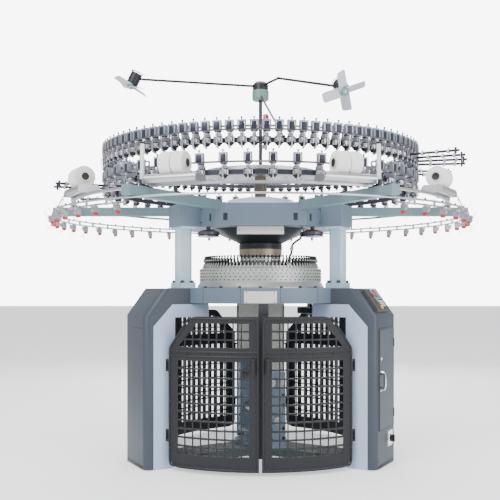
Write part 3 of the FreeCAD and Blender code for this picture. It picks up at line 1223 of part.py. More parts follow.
for turn in UNITS.values():
    for side in (-1, 1):
        shifted = FreeCAD.Placement(FreeCAD.Vector(0, side * (ROLLER_HALF + 4 + size("part_gap")), 0),
                                    FreeCAD.Rotation())
        cheeks.append(placed(cheek, heading(turn).multiply(shifted)))
        across = SUPPORT_MIDDLE + side * SPREAD
        rollers.append(placed(bar((across, -ROLLER_HALF, ROLLER_UP), (across, ROLLER_HALF, ROLLER_UP),
                                  ROLLER), heading(turn)))
package_ring = flat_ring(SUPPORT_IN, SUPPORT_OUT, ARM_TOP, ARM_TOP + size("support_high")).fuse(cheeks)
group("outer_rings", [stop_ring] + package_ring.Solids)
group("elastane_rollers", rollers)
HALF, CORE = size("package_half"), size("package_core")
for name, turn in UNITS.items():
    package = new_body("elastane_package_" + name)
    revolve(package, (
        ("0", "-package_half - 6"), ("package_core", "-package_half - 6"), ("package_core", "-package_half"),
        ("package_radius - 4", "-package_half"), ("package_radius", "6 - package_half"),
        ("package_radius", "-8"),
        ("package_radius - 5", "-3"), ("package_core + 6", "-2"), ("package_core + 6", "2"),
        ("package_radius - 5", "3"), ("package_radius", "8"), ("package_radius", "package_half - 6"),
        ("package_radius - 4", "package_half"), ("package_core", "package_half"),
        ("package_core", "package_half + 6"), ("0", "package_half + 6")))
    lying = FreeCAD.Placement(FreeCAD.Vector(SUPPORT_MIDDLE, 0, PACKAGE_UP),
                              FreeCAD.Rotation(FreeCAD.Vector(1, 0, 0), 90))
    package.Placement = heading(turn).multiply(lying)
    part(package, "elastane_package_" + name)


# Write one file for each sub-part, once every object has come out sound.

doc.recompute()
faults = [thing.Name for thing in doc.Objects if "Invalid" in thing.State or "Error" in thing.State]
faults += [label for label, thing in parts.items() if thing.Shape.isNull() or not thing.Shape.isValid()]
if faults:
    raise RuntimeError("unsound objects: " + ", ".join(faults))
for label, thing in parts.items():
    thing.Shape.exportStep("parts/%s.step" % label)
print("wrote %d sub-parts" % len(parts))
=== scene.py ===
"""Finish, fittings, light and camera for a large-diameter circular knitting machine."""
import logging
import math
from collections.abc import Callable, Iterable, Sequence
from dataclasses import dataclass
from enum import Enum

import bmesh
import bpy
from mathutils import Matrix, Vector


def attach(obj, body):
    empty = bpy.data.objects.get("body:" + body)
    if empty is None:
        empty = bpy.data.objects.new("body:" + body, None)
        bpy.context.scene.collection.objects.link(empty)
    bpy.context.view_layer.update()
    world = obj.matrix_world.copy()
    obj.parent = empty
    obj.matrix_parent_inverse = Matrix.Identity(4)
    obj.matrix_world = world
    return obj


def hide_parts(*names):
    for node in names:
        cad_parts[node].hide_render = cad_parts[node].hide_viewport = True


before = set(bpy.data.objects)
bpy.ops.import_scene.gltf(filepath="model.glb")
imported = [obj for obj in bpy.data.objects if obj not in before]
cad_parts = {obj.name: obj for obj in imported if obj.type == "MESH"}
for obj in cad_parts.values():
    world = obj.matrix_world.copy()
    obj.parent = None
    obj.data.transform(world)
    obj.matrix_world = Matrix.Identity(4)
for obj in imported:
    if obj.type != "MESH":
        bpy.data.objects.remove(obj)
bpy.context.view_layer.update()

LOG = logging.getLogger("knitting_machine")
Colour = tuple[float, float, float]
Pair = tuple[float, float]
Point = tuple[float, float, float]


# ---------------------------------------------------------------- shared effects


class Effect:
    """A shader node group with named inputs and outputs, built once and placed in any material."""

    def __init__(self, name: str, inputs: dict[str, object], outputs: Sequence[str]) -> None:
        """Make the empty group.

        Args:
            name: the group's name.
            inputs: default value for each input; a tuple makes a colour and a number makes a value.
            outputs: names of the outputs; "Colour" is a colour, the others are values.
        """
        self.tree = bpy.data.node_groups.new(name, "ShaderNodeTree")
        for label, value in inputs.items():
            kind = "NodeSocketColor" if isinstance(value, tuple) else "NodeSocketFloat"
            socket = self.tree.interface.new_socket(label, in_out="INPUT", socket_type=kind)
            socket.default_value = (*value, 1.0) if isinstance(value, tuple) else value
        for label in outputs:
            kind = "NodeSocketColor" if label == "Colour" else "NodeSocketFloat"
            self.tree.interface.new_socket(label, in_out="OUTPUT", socket_type=kind)
        self.entry = self.tree.nodes.new("NodeGroupInput")
        self.exit = self.tree.nodes.new("NodeGroupOutput")

    def node(self, kind: str, **settings: object) -> bpy.types.Node:
        """Add a node and set its properties."""
        made = self.tree.nodes.new("ShaderNode" + kind)
        for label, value in settings.items():
            setattr(made, label, value)
        return made

    def link(self, source: bpy.types.NodeSocket, target: bpy.types.NodeSocket) -> None:
        """Join two sockets."""
        self.tree.links.new(source, target)

    def sum(self, operation: str, *values: object) -> bpy.types.NodeSocket:
        """Do arithmetic on sockets or numbers.

        Args:
            operation: one of the Math node's operations.
            values: sockets or plain numbers.

        Returns:
            The result's socket.
        """
        maths = self.node("Math", operation=operation)
        for socket, value in zip(maths.inputs, values):
            if isinstance(value, (int, float)):
                socket.default_value = value
            else:
                self.link(value, socket)
        return maths.outputs[0]

    def noise(self, scale: object, detail: float, stretch: Point = (1.0, 1.0, 1.0)) -> bpy.types.NodeSocket:
        """Noise in the object's own space, stretched along its axes."""
        place = self.node("TexCoord")
        mapping = self.node("Mapping")
        mapping.inputs["Scale"].default_value = stretch
        self.link(place.outputs["Object"], mapping.inputs["Vector"])
        texture = self.node("TexNoise")
        texture.inputs["Detail"].default_value = detail
        self.link(mapping.outputs[0], texture.inputs["Vector"])
        if isinstance(scale, (int, float)):
            texture.inputs["Scale"].default_value = scale
        else:
            self.link(scale, texture.inputs["Scale"])
        return texture.outputs["Fac"]

    def blend(self, share: bpy.types.NodeSocket, first: object, second: object) -> bpy.types.NodeSocket:
        """Mix two colours by a share."""
        mix = self.node("Mix", data_type="RGBA")
        self.link(share, mix.inputs[0])
        for socket, value in ((mix.inputs[6], first), (mix.inputs[7], second)):
            if isinstance(value, tuple):
                socket.default_value = (*value, 1.0)
            else:
                self.link(value, socket)
        return mix.outputs[2]


def edge_wear() -> Effect:
    """Rubbed edges: finds sharp edges by rounding the normal, and breaks them up with noise."""
    effect = Effect("edge_wear", {"Colour": (0.5, 0.5, 0.5), "Worn Colour": (0.6, 0.6, 0.6), "Radius": 0.004,
                                  "Amount": 0.5}, ("Colour", "Mask"))
    rounded = effect.node("Bevel", samples=4)
    effect.link(effect.entry.outputs["Radius"], rounded.inputs["Radius"])
    facing = effect.node("VectorMath", operation="DOT_PRODUCT")
    effect.link(rounded.outputs[0], facing.inputs[0])
    effect.link(effect.node("NewGeometry").outputs["Normal"], facing.inputs[1])
    sharp = effect.sum("MULTIPLY", effect.sum("SUBTRACT", 1.0, facing.outputs["Value"]), 5.0)
    broken = effect.sum("SUBTRACT", effect.sum("MULTIPLY", effect.noise(38.0, 5.0), 2.2), 0.55)
    mask = effect.sum("MULTIPLY", effect.sum("MULTIPLY", sharp, broken), effect.entry.outputs["Amount"])
    clean = effect.node("Clamp")
    effect.link(mask, clean.inputs[0])
    colour = effect.blend(clean.outputs[0], effect.entry.outputs["Colour"],
                          effect.entry.outputs["Worn Colour"])
    effect.link(colour, effect.exit.inputs["Colour"])
    effect.link(clean.outputs[0], effect.exit.inputs["Mask"])
    return effect


def uneven_tone() -> Effect:
    """Cloudy shifts of brightness and gloss, as on sprayed or handled surfaces."""
    effect = Effect("uneven_tone", {"Colour": (0.5, 0.5, 0.5), "Scale": 3.0, "Amount": 0.1, "Roughness": 0.4,
                                    "Spread": 0.1}, ("Colour", "Roughness"))
    entry = effect.entry.outputs
    cloud = effect.noise(entry["Scale"], 4.0)
    fine = effect.noise(effect.sum("MULTIPLY", entry["Scale"], 23.0), 3.0)
    both = effect.sum("ADD", effect.sum("MULTIPLY", cloud, 0.75), effect.sum("MULTIPLY", fine, 0.25))
    centred = effect.sum("SUBTRACT", both, 0.5)
    gain = effect.sum("ADD", effect.sum("MULTIPLY", effect.sum("MULTIPLY", centred, entry["Amount"]), 2.0),
                      1.0)
    scaled = effect.node("VectorMath", operation="SCALE")
    effect.link(entry["Colour"], scaled.inputs[0])
    effect.link(gain, scaled.inputs["Scale"])
    effect.link(scaled.outputs[0], effect.exit.inputs["Colour"])
    rough = effect.sum("ADD", entry["Roughness"], effect.sum("MULTIPLY", centred, effect.sum(
        "MULTIPLY", entry["Spread"], 2.0)))
    effect.link(rough, effect.exit.inputs["Roughness"])
    return effect


def settled_dust() -> Effect:
    """Lint and dust that lies on faces that look up."""
    effect = Effect("settled_dust", {"Colour": (0.5, 0.5, 0.5), "Dust Colour": (0.72, 0.71, 0.68),
                                     "Amount": 0.2},
                    ("Colour", "Mask"))
    split = effect.node("SeparateXYZ")
    effect.link(effect.node("NewGeometry").outputs["Normal"], split.inputs[0])
    upward = effect.sum("POWER", effect.sum("MAXIMUM", split.outputs["Z"], 0.0), 3.0)
    patchy = effect.sum("ADD", effect.noise(9.0, 6.0), 0.15)
    mask = effect.sum("MULTIPLY", effect.sum("MULTIPLY", upward, patchy), effect.entry.outputs["Amount"])
    clean = effect.node("Clamp")
    effect.link(mask, clean.inputs[0])
    effect.link(effect.blend(clean.outputs[0], effect.entry.outputs["Colour"],
                             effect.entry.outputs["Dust Colour"]),
                effect.exit.inputs["Colour"])
    effect.link(clean.outputs[0], effect.exit.inputs["Mask"])
    return effect


def fine_grain() -> Effect:
    """Height of a moulded, sprayed or cast skin."""
    effect = Effect("fine_grain", {"Scale": 400.0, "Coarse": 0.3}, ("Height",))
    fine = effect.noise(effect.entry.outputs["Scale"], 2.0)
    coarse = effect.noise(effect.sum("MULTIPLY", effect.entry.outputs["Scale"], 0.12), 3.0)
    height = effect.sum("ADD", fine, effect.sum("MULTIPLY", coarse, effect.entry.outputs["Coarse"]))
    effect.link(height, effect.exit.inputs["Height"])
    return effect


def turning_marks() -> Effect:
    """Fine lines round the machine's axis, left by a lathe or a grinding wheel."""
    effect = Effect("turning_marks", {"Scale": 900.0, "Contrast": 0.3}, ("Height", "Shade"))
    split = effect.node("SeparateXYZ")
    effect.link(effect.node("TexCoord").outputs["Object"], split.inputs[0])
    across = effect.sum("SQRT", effect.sum("ADD", effect.sum("MULTIPLY", split.outputs["X"],
                                                             split.outputs["X"]),
                                           effect.sum("MULTIPLY", split.outputs["Y"], split.outputs["Y"])))
    joined = effect.node("CombineXYZ")
    effect.link(across, joined.inputs["X"])
    effect.link(split.outputs["Z"], joined.inputs["Z"])
    texture = effect.node("TexNoise")
    texture.inputs["Detail"].default_value = 2.0
    effect.link(joined.outputs[0], texture.inputs["Vector"])
    effect.link(effect.entry.outputs["Scale"], texture.inputs["Scale"])
    effect.link(texture.outputs["Fac"], effect.exit.inputs["Height"])
    centred = effect.sum("SUBTRACT", texture.outputs["Fac"], 0.5)
    effect.link(effect.sum("ADD", effect.sum("MULTIPLY", centred, effect.entry.outputs["Contrast"]), 1.0),
                effect.exit.inputs["Shade"])
    return effect


# ---------------------------------------------------------------- finishes


class Skin(Enum):
    """What a surface's fine relief looks like."""

    SPRAYED = "sprayed"
    CAST = "cast"
    TURNED = "turned"
    MOULDED = "moulded"
    WOUND = "wound"


@dataclass(frozen=True)
class Finish:
    """One surface finish of the machine.

    Attributes:
        name: the material's name.
        colour: base colour, linear.
        skin: kind of fine relief.
        rough: roughness.
        metal: metallic share.
        worn: colour under rubbed edges, or None where edges don't wear.
        wear: how much the edges are rubbed.
        dust: how much lint lies on top.
        tone: how uneven the colour is.
        coat: clear coat weight.
        gloss: specular level.
        relief: strength of the bump.
    """

    name: str
    colour: Colour
    skin: Skin = Skin.SPRAYED
    rough: float = 0.4
    metal: float = 0.0
    worn: Colour | None = None
    wear: float = 0.5
    dust: float = 0.1
    tone: float = 0.08
    coat: float = 0.0
    gloss: float = 0.5
    relief: float = 0.05

    RELIEF_SCALE = {Skin.SPRAYED: 700.0, Skin.CAST: 260.0, Skin.MOULDED: 520.0}


class Workshop:
    """Builds each effect and each finish once, and hands out the materials."""

    def __init__(self) -> None:
        """Build the shared effects."""
        self.effects = {effect.tree.name: effect for effect in (
            edge_wear(), uneven_tone(), settled_dust(), fine_grain(), turning_marks())}
        self.made: dict[str, bpy.types.Material] = {}

    def place(self, tree: bpy.types.NodeTree, name: str, **values: object) -> bpy.types.Node:
        """Place an effect in a material.

        Args:
            tree: the material's node tree.
            name: the effect's name.
            values: numbers, colours or sockets for its inputs; underscores stand for spaces.

        Returns:
            The group node.
        """
        node = tree.nodes.new("ShaderNodeGroup")
        node.node_tree = self.effects[name].tree
        for label, value in values.items():
            socket = node.inputs[label.replace("_", " ")]
            if isinstance(value, tuple):
                socket.default_value = (*value, 1.0)
            elif isinstance(value, (int, float)):
                socket.default_value = value
            else:
                tree.links.new(value, socket)
        return node

    def material(self, finish: Finish, paint: Callable[[bpy.types.NodeTree],
                                                       bpy.types.NodeSocket] | None = None,
                 ) -> bpy.types.Material:
        """The material of a finish.

        Args:
            finish: the finish.
            paint: optional maker of the base colour, for a surface of more than one colour.

        Returns:
            The material, built on first use.
        """
        if finish.name in self.made:
            return self.made[finish.name]
        material = bpy.data.materials.new(finish.name)
        material.use_nodes = True
        tree = material.node_tree
        shader = tree.nodes["Principled BSDF"]
        shader.inputs["Metallic"].default_value = finish.metal
        shader.inputs["Specular IOR Level"].default_value = finish.gloss
        shader.inputs["Coat Weight"].default_value = finish.coat
        shader.inputs["Coat Roughness"].default_value = 0.12
        start: object = paint(tree) if paint else finish.colour
        tone = self.place(tree, "uneven_tone", Colour=start, Scale=2.6, Amount=finish.tone,
                          Roughness=finish.rough, Spread=0.16)
        colour = tone.outputs["Colour"]
        if finish.skin is Skin.TURNED:
            marks = self.place(tree, "turning_marks", Scale=1100.0, Contrast=0.35)
            shade = tree.nodes.new("ShaderNodeVectorMath")
            shade.operation = "SCALE"
            tree.links.new(colour, shade.inputs[0])
            tree.links.new(marks.outputs["Shade"], shade.inputs["Scale"])
            colour, height = shade.outputs[0], marks.outputs["Height"]
        else:
            scale = Finish.RELIEF_SCALE.get(finish.skin, 500.0)
            height = self.place(tree, "fine_grain", Scale=scale,
                                Coarse=1.6 if finish.skin is Skin.CAST else 0.4).outputs["Height"]
        if finish.worn is not None:
            wear = self.place(tree, "edge_wear", Colour=colour, Worn_Colour=finish.worn, Amount=finish.wear)
            colour = wear.outputs["Colour"]
        if finish.dust > 0:
            colour = self.place(tree, "settled_dust", Colour=colour, Amount=finish.dust).outputs["Colour"]
        tree.links.new(colour, shader.inputs["Base Color"])
        tree.links.new(tone.outputs["Roughness"], shader.inputs["Roughness"])
        bump = tree.nodes.new("ShaderNodeBump")
        bump.inputs["Strength"].default_value = finish.relief
        bump.inputs["Distance"].default_value = 0.002
        tree.links.new(height, bump.inputs["Height"])
        tree.links.new(bump.outputs[0], shader.inputs["Normal"])
        self.made[finish.name] = material
        return material


BARE: Colour = (0.45, 0.46, 0.48)
COVER = Finish("cover_grey", (0.040, 0.052, 0.070), rough=0.44, worn=(0.10, 0.12, 0.15), gloss=0.35)
PANEL = Finish("panel_light", (0.370, 0.470, 0.630), rough=0.42, worn=(0.58, 0.66, 0.76))
BED = Finish("bed_blue", (0.105, 0.150, 0.205), rough=0.40, worn=(0.22, 0.29, 0.38), coat=0.1)
COLUMN = Finish("column_blue", (0.420, 0.580, 0.690), rough=0.38, worn=(0.66, 0.76, 0.82), coat=0.1)
CROWN = Finish("crown_blue", (0.122, 0.168, 0.220), rough=0.42, worn=(0.25, 0.32, 0.40), coat=0.1)
# The crown's top dome is the crown's own paint; its pale colour here is a painted highlight of the light from
# above.
DOME_HIGHLIGHT = Finish("dome_pale", (0.700, 0.860, 0.940), rough=0.36, coat=0.2, dust=0.2)
FUNNEL = Finish("funnel_dark", (0.016, 0.024, 0.028), rough=0.38, worn=(0.06, 0.07, 0.08), gloss=0.4)
BRONZE = Finish("cap_bronze", (0.330, 0.265, 0.205), Skin.TURNED, rough=0.38, metal=0.85)
GROUND = Finish("ground_steel", (0.52, 0.53, 0.55), Skin.TURNED, rough=0.30, metal=1.0, dust=0.05)
CAM = Finish("cam_aluminium", (0.560, 0.575, 0.545), Skin.MOULDED, rough=0.42, metal=0.55,
             worn=(0.8, 0.8, 0.78),
             wear=0.7, tone=0.12)
TURNED_RING = Finish("turned_ring", (0.50, 0.51, 0.50), Skin.TURNED, rough=0.36, metal=0.8, worn=BARE)
CARRIER = Finish("carrier_black", (0.022, 0.022, 0.026), Skin.MOULDED, rough=0.45, dust=0.25)
CYLINDER = Finish("cylinder_steel", (0.46, 0.47, 0.49), Skin.TURNED, rough=0.28, metal=1.0)
GEAR = Finish("gear_steel", (0.24, 0.25, 0.26), Skin.MOULDED, rough=0.35, metal=0.9, worn=BARE)
IRON = Finish("leg_iron", (0.105, 0.118, 0.130), Skin.CAST, rough=0.6, worn=(0.2, 0.22, 0.23), relief=0.25,
              dust=0.4)
BASE = Finish("base_iron", (0.070, 0.096, 0.092), Skin.CAST, rough=0.58, worn=(0.2, 0.22, 0.21), relief=0.3,
              dust=0.5)
MOTOR = Finish("motor_grey", (0.10, 0.13, 0.16), Skin.CAST, rough=0.5, relief=0.2)
BELT = Finish("belt_rubber", (0.018, 0.018, 0.018), Skin.MOULDED, rough=0.7, relief=0.15)
TAKEDOWN = Finish("takedown_blue", (0.190, 0.260, 0.350), rough=0.42, worn=(0.34, 0.40, 0.48), dust=0.35)
GREEN = Finish("gearbox_green", (0.125, 0.235, 0.205), Skin.CAST, rough=0.45, worn=(0.30, 0.38, 0.35),
               relief=0.18)
GRIP = Finish("roller_rubber", (0.035, 0.036, 0.040), Skin.MOULDED, rough=0.72, relief=0.25, dust=0.3)
DRAWN = Finish("drawn_steel", (0.48, 0.49, 0.50), Skin.MOULDED, rough=0.30, metal=1.0)
WHEEL = Finish("wheel_aluminium", (0.70, 0.71, 0.72), Skin.TURNED, rough=0.26, metal=0.9)
POLE = Finish("pole_black", (0.010, 0.010, 0.016), rough=0.42, worn=(0.08, 0.08, 0.09), gloss=0.4)
RAIL = Finish("ring_navy", (0.020, 0.021, 0.036), rough=0.36, worn=(0.14, 0.14, 0.16), dust=0.08)
NAVY = Finish("terminal_navy", (0.012, 0.014, 0.032), Skin.MOULDED, rough=0.40, dust=0.05, gloss=0.4)
BLADE = Finish("blade_lilac", (0.560, 0.575, 0.660), Skin.MOULDED, rough=0.42, dust=0.15)
CREEL = Finish("creel_steel", (0.46, 0.48, 0.50), Skin.MOULDED, rough=0.30, metal=0.9, worn=(0.6, 0.6, 0.6))
TEAL = Finish("creel_teal", (0.130, 0.215, 0.230), rough=0.44, worn=(0.30, 0.38, 0.39), dust=0.2)
HOUSING = Finish("feeder_housing", (0.30, 0.32, 0.37), Skin.MOULDED, rough=0.34, metal=0.45, dust=0.08)
BLACK = Finish("moulded_black", (0.010, 0.010, 0.014), Skin.MOULDED, rough=0.44, dust=0.10, gloss=0.4)
SPOOL = Finish("feeder_wheel", (0.60, 0.61, 0.64), Skin.MOULDED, rough=0.22, metal=0.85)
TAPE = Finish("drive_tape", (0.11, 0.11, 0.13), Skin.MOULDED, rough=0.75, relief=0.3)
STOP = Finish("stop_red", (0.500, 0.012, 0.028), Skin.MOULDED, rough=0.36, dust=0.03)
LAMP = Finish("lamp_dark", (0.050, 0.048, 0.060), Skin.MOULDED, rough=0.30, coat=0.3)
GATE = Finish("gate_charcoal", (0.0105, 0.0115, 0.0140), Skin.MOULDED, rough=0.50, worn=(0.05, 0.05, 0.055),
              relief=0.12, dust=0.08, gloss=0.35)
FITTING = Finish("fitting_black", (0.022, 0.022, 0.026), rough=0.4, worn=BARE, wear=0.35)
CONSOLE = Finish("console_black", (0.014, 0.014, 0.016), Skin.MOULDED, rough=0.38, worn=(0.08, 0.08, 0.08))
RED = Finish("button_red", (0.62, 0.018, 0.022), Skin.MOULDED, rough=0.25, coat=0.5, dust=0.0)
LEAF_GREEN = Finish("button_green", (0.015, 0.36, 0.085), Skin.MOULDED, rough=0.25, coat=0.5, dust=0.0)
AMBER = Finish("button_orange", (0.82, 0.26, 0.018), Skin.MOULDED, rough=0.25, coat=0.5, dust=0.0)
CHROME = Finish("chrome", (0.78, 0.79, 0.80), Skin.MOULDED, rough=0.10, metal=1.0, dust=0.0, relief=0.01)
PLATE = Finish("bare_plate", (0.66, 0.64, 0.58), rough=0.32, metal=0.25, worn=(0.4, 0.38, 0.34), coat=0.2)
WHITE = Finish("white_plastic", (0.78, 0.79, 0.79), Skin.MOULDED, rough=0.34, dust=0.1)
CERAMIC = Finish("ceramic_white", (0.80, 0.79, 0.75), Skin.MOULDED, rough=0.15, coat=0.5, dust=0.0)
BOLT = Finish("oxide_bolt", (0.050, 0.052, 0.056), Skin.MOULDED, rough=0.35, metal=0.7)
CREAM = Finish("cream_lining", (0.900, 0.890, 0.780), rough=0.45, tone=0.10)
SCREEN = Finish("dark_screen", (0.012, 0.020, 0.026), Skin.MOULDED, rough=0.08, coat=0.8, dust=0.0,
                relief=0.005)


# ---------------------------------------------------------------- mesh building


def around(heading: float, radius: float, height: float) -> Matrix:
    """Place on the machine: X points out along the heading (degrees), Y goes round and Z is up."""
    return Matrix.Rotation(math.radians(heading), 4, "Z") @ Matrix.Translation((radius, 0.0, height))


def spot(x: float, y: float, z: float) -> Matrix:
    """Place with the machine's own axes."""
    return Matrix.Translation((x, y, z))


OUTWARD = Matrix.Rotation(math.pi / 2, 4, "Y")
SIDEWAYS = Matrix.Rotation(-math.pi / 2, 4, "X")


class Form:
    """A mesh put together from turned, extruded and chamfered shapes."""

    def __init__(self) -> None:
        """Start empty."""
        self.points: list[Vector] = []
        self.faces: list[tuple[int, ...]] = []

    def take(self, mesh: bmesh.types.BMesh, at: Matrix) -> "Form":
        """Add a worked mesh and free it.

        Args:
            mesh: the mesh.
            at: its place.

        Returns:
            This form.
        """
        start = len(self.points)
        mesh.verts.index_update()
        self.points.extend(at @ vertex.co for vertex in mesh.verts)
        self.faces.extend(tuple(start + vertex.index for vertex in face.verts) for face in mesh.faces)
        mesh.free()
        return self

    def block(self, size: Point, at: Matrix, edge: float = 0.001) -> "Form":
        """Add a block with broken edges, centred on its place."""
        mesh = bmesh.new()
        bmesh.ops.create_cube(mesh, size=1.0, matrix=Matrix.Diagonal((*size, 1.0)))
        bmesh.ops.bevel(mesh, geom=mesh.edges[:], offset=edge, segments=2, profile=0.5, affect="EDGES")
        return self.take(mesh, at)

    def turned(self, profile: Sequence[Pair], at: Matrix, sides: int = 24, loop: bool = False) -> "Form":
        """Add a turned shape.

        Args:
            profile: (radius, height) points; a radius of zero closes the shape on its axis.
            at: its place; the axis is local Z.
            sides: number of facets.
            loop: join the last point to the first, for a ring.

        Returns:
            This form.
        """
        rings: list[list[int]] = []
        for radius, height in profile:
            count = sides if radius > 1e-7 else 1
            rings.append([])
            for step in range(count):
                turn = math.tau * step / sides
                rings[-1].append(len(self.points))
                self.points.append(at @ Vector((radius * math.cos(turn), radius * math.sin(turn), height)))
        pairs = list(zip(rings, rings[1:]))
        if loop:
            pairs.append((rings[-1], rings[0]))
        for low, high in pairs:
            for step in range(sides):
                corner = (low[step % len(low)], low[(step + 1) % len(low)], high[(step + 1) % len(high)],
                          high[step % len(high)])
                face = tuple(dict.fromkeys(corner))
                if len(face) > 2:
                    self.faces.append(face)
        return self

    def extruded(self, outline: Sequence[Pair], depth: float, at: Matrix, edge: float = 0.0008) -> "Form":
        """Add a flat outline in local XY, drawn out along local Z, with broken edges."""
        mesh = bmesh.new()
        face = mesh.faces.new([mesh.verts.new((x, y, 0.0)) for x, y in outline])
        drawn = bmesh.ops.extrude_face_region(mesh, geom=[face])["geom"]
        bmesh.ops.translate(mesh, vec=(0.0, 0.0, depth),
                            verts=[g for g in drawn if isinstance(g, bmesh.types.BMVert)])
        if edge > 0:
            bmesh.ops.bevel(mesh, geom=mesh.edges[:], offset=edge, segments=1, profile=0.5, affect="EDGES")
        return self.take(mesh, at)

    def pipe(self, route: Sequence[Point], radius: float, at: Matrix, sides: int = 12) -> "Form":
        """Add a stiff bent pipe or wire through smooth bends near the route's points, with closed ends."""
        curve = bpy.data.curves.new("bend", "CURVE")
        curve.dimensions = "3D"
        spline = curve.splines.new("NURBS")
        spline.points.add(len(route) - 1)
        for knot, place in zip(spline.points, route):
            knot.co = (*place, 1.0)
        spline.order_u = 3
        spline.use_endpoint_u = True
        curve.resolution_u = 5
        curve.bevel_depth = radius
        curve.bevel_resolution = max(0, sides // 4 - 1)
        curve.use_fill_caps = True
        holder = bpy.data.objects.new("bend", curve)
        made = bpy.data.meshes.new_from_object(holder)
        mesh = bmesh.new()
        mesh.from_mesh(made)
        bmesh.ops.remove_doubles(mesh, verts=mesh.verts[:], dist=1e-6)
        bpy.data.objects.remove(holder)
        bpy.data.curves.remove(curve)
        bpy.data.meshes.remove(made)
        return self.take(mesh, at)

    def hex_bolt(self, across: float, at: Matrix, washer: bool = True) -> "Form":
        """Add a hexagon bolt head that stands on local Z = 0, with its washer."""
        lift = across * 0.12 if washer else 0.0
        if washer:
            self.turned(((0.0, -0.0005), (across * 0.80, -0.0005), (across * 0.80, lift * 0.7),
                         (across * 0.74, lift), (0.0, lift)), at, 20)
        corner = across / math.sqrt(3)
        self.turned(((0.0, lift), (corner, lift), (corner, lift + across * 0.52),
                     (corner * 0.88, lift + across * 0.62), (0.0, lift + across * 0.62)), at, 6)
        return self

    def socket_screw(self, radius: float, at: Matrix) -> "Form":
        """Add a round-headed socket screw that stands on local Z = 0, with its recess."""
        tall = radius * 0.9
        return self.turned(((0.0, -0.0005), (radius, -0.0005), (radius, tall * 0.8), (radius * 0.86, tall),
                            (radius * 0.5, tall), (radius * 0.5, tall * 0.35), (0.0, tall * 0.35)), at, 12)

    def repeated(self, places: Iterable[Matrix]) -> "Form":
        """Copy this form to each place.

        Args:
            places: where the copies go.

        Returns:
            A new form.
        """
        many = Form()
        for place in places:
            start = len(many.points)
            many.points.extend(place @ point for point in self.points)
            many.faces.extend(tuple(start + index for index in face) for face in self.faces)
        return many

    def piece(self, name: str, material: bpy.types.Material, slot: str, body: str = "machine",
              smooth_below: float = 38.0) -> bpy.types.Object:
        """Make the object and set it on its body.

        Args:
            name: the piece's name.
            material: its material.
            slot: not used.
            body: the CAD body that it rides.
            smooth_below: edges flatter than this angle, in degrees, are shaded smooth.

        Returns:
            The object.
        """
        mesh = bpy.data.meshes.new(name)
        mesh.from_pydata(self.points, [], self.faces)
        worked = bmesh.new()
        worked.from_mesh(mesh)
        bmesh.ops.recalc_face_normals(worked, faces=worked.faces[:])
        worked.to_mesh(mesh)
        worked.free()
        mesh.polygons.foreach_set("use_smooth", [True] * len(mesh.polygons))
        mesh.set_sharp_from_angle(angle=math.radians(smooth_below))
        mesh.materials.append(material)
        made = bpy.data.objects.new(name, mesh)
        bpy.context.scene.collection.objects.link(made)
        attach(made, body)
        LOG.info("%s: %d faces on %s", name, len(mesh.polygons), body)
        return made


# ---------------------------------------------------------------- surfaces of more than one colour


def object_axis(tree: bpy.types.NodeTree, direction: Point,
                origin: Point = (0.0, 0.0, 0.0)) -> bpy.types.NodeSocket:
    """Distance along a direction from a point, in metres, over the surface."""
    place = tree.nodes.new("ShaderNodeTexCoord")
    shift = tree.nodes.new("ShaderNodeVectorMath")
    shift.operation = "SUBTRACT"
    tree.links.new(place.outputs["Object"], shift.inputs[0])
    shift.inputs[1].default_value = origin
    along = tree.nodes.new("ShaderNodeVectorMath")
    along.operation = "DOT_PRODUCT"
    tree.links.new(shift.outputs[0], along.inputs[0])
    along.inputs[1].default_value = direction
    return along.outputs["Value"]


def banded(tree: bpy.types.NodeTree, value: bpy.types.NodeSocket, low: float, high: float,
           bands: Sequence[tuple[float, Colour]]) -> bpy.types.NodeSocket:
    """Plain bands of colour over a value.

    Args:
        tree: the material's node tree.
        value: what the bands follow.
        low: value at the ramp's start.
        high: value at the ramp's end.
        bands: (value where the band starts, colour), in rising order.

    Returns:
        The colour's socket.
    """
    share = tree.nodes.new("ShaderNodeMapRange")
    tree.links.new(value, share.inputs["Value"])
    share.inputs["From Min"].default_value = low
    share.inputs["From Max"].default_value = high
    ramp = tree.nodes.new("ShaderNodeValToRGB")
    ramp.color_ramp.interpolation = "CONSTANT"
    stops = ramp.color_ramp.elements
    stops[0].position, stops[0].color = 0.0, (*bands[0][1], 1.0)
    stops.remove(stops[1])
    for start, colour in bands[1:]:
        stop = stops.new((start - low) / (high - low))
        stop.color = (*colour, 1.0)
    tree.links.new(share.outputs[0], ramp.inputs[0])
    return ramp.outputs[0]


@dataclass(frozen=True)
class HeightBands:
    """Colours in bands up the machine.

    Attributes:
        low: lowest height.
        high: highest height.
        bands: (height where the band starts, colour).
    """

    low: float
    high: float
    bands: tuple[tuple[float, Colour], ...]

    def __call__(self, tree: bpy.types.NodeTree) -> bpy.types.NodeSocket:
        """The colour's socket."""
        return banded(tree, object_axis(tree, (0.0, 0.0, 1.0)), self.low, self.high, self.bands)


@dataclass(frozen=True)
class HubAndBlades:
    """One colour near a fan's centre and another further out.

    Attributes:
        centre: the fan's centre.
        hub_radius: where the hub ends.
        hub: its colour.
        blade: the blades' colour.
    """

    centre: Point
    hub_radius: float
    hub: Colour
    blade: Colour

    def __call__(self, tree: bpy.types.NodeTree) -> bpy.types.NodeSocket:
        """The colour's socket."""
        place = tree.nodes.new("ShaderNodeTexCoord")
        reach = tree.nodes.new("ShaderNodeVectorMath")
        reach.operation = "DISTANCE"
        tree.links.new(place.outputs["Object"], reach.inputs[0])
        reach.inputs[1].default_value = self.centre
        return banded(tree, reach.outputs["Value"], 0.0, 0.2,
                      ((0.0, self.hub), (self.hub_radius, self.blade)))


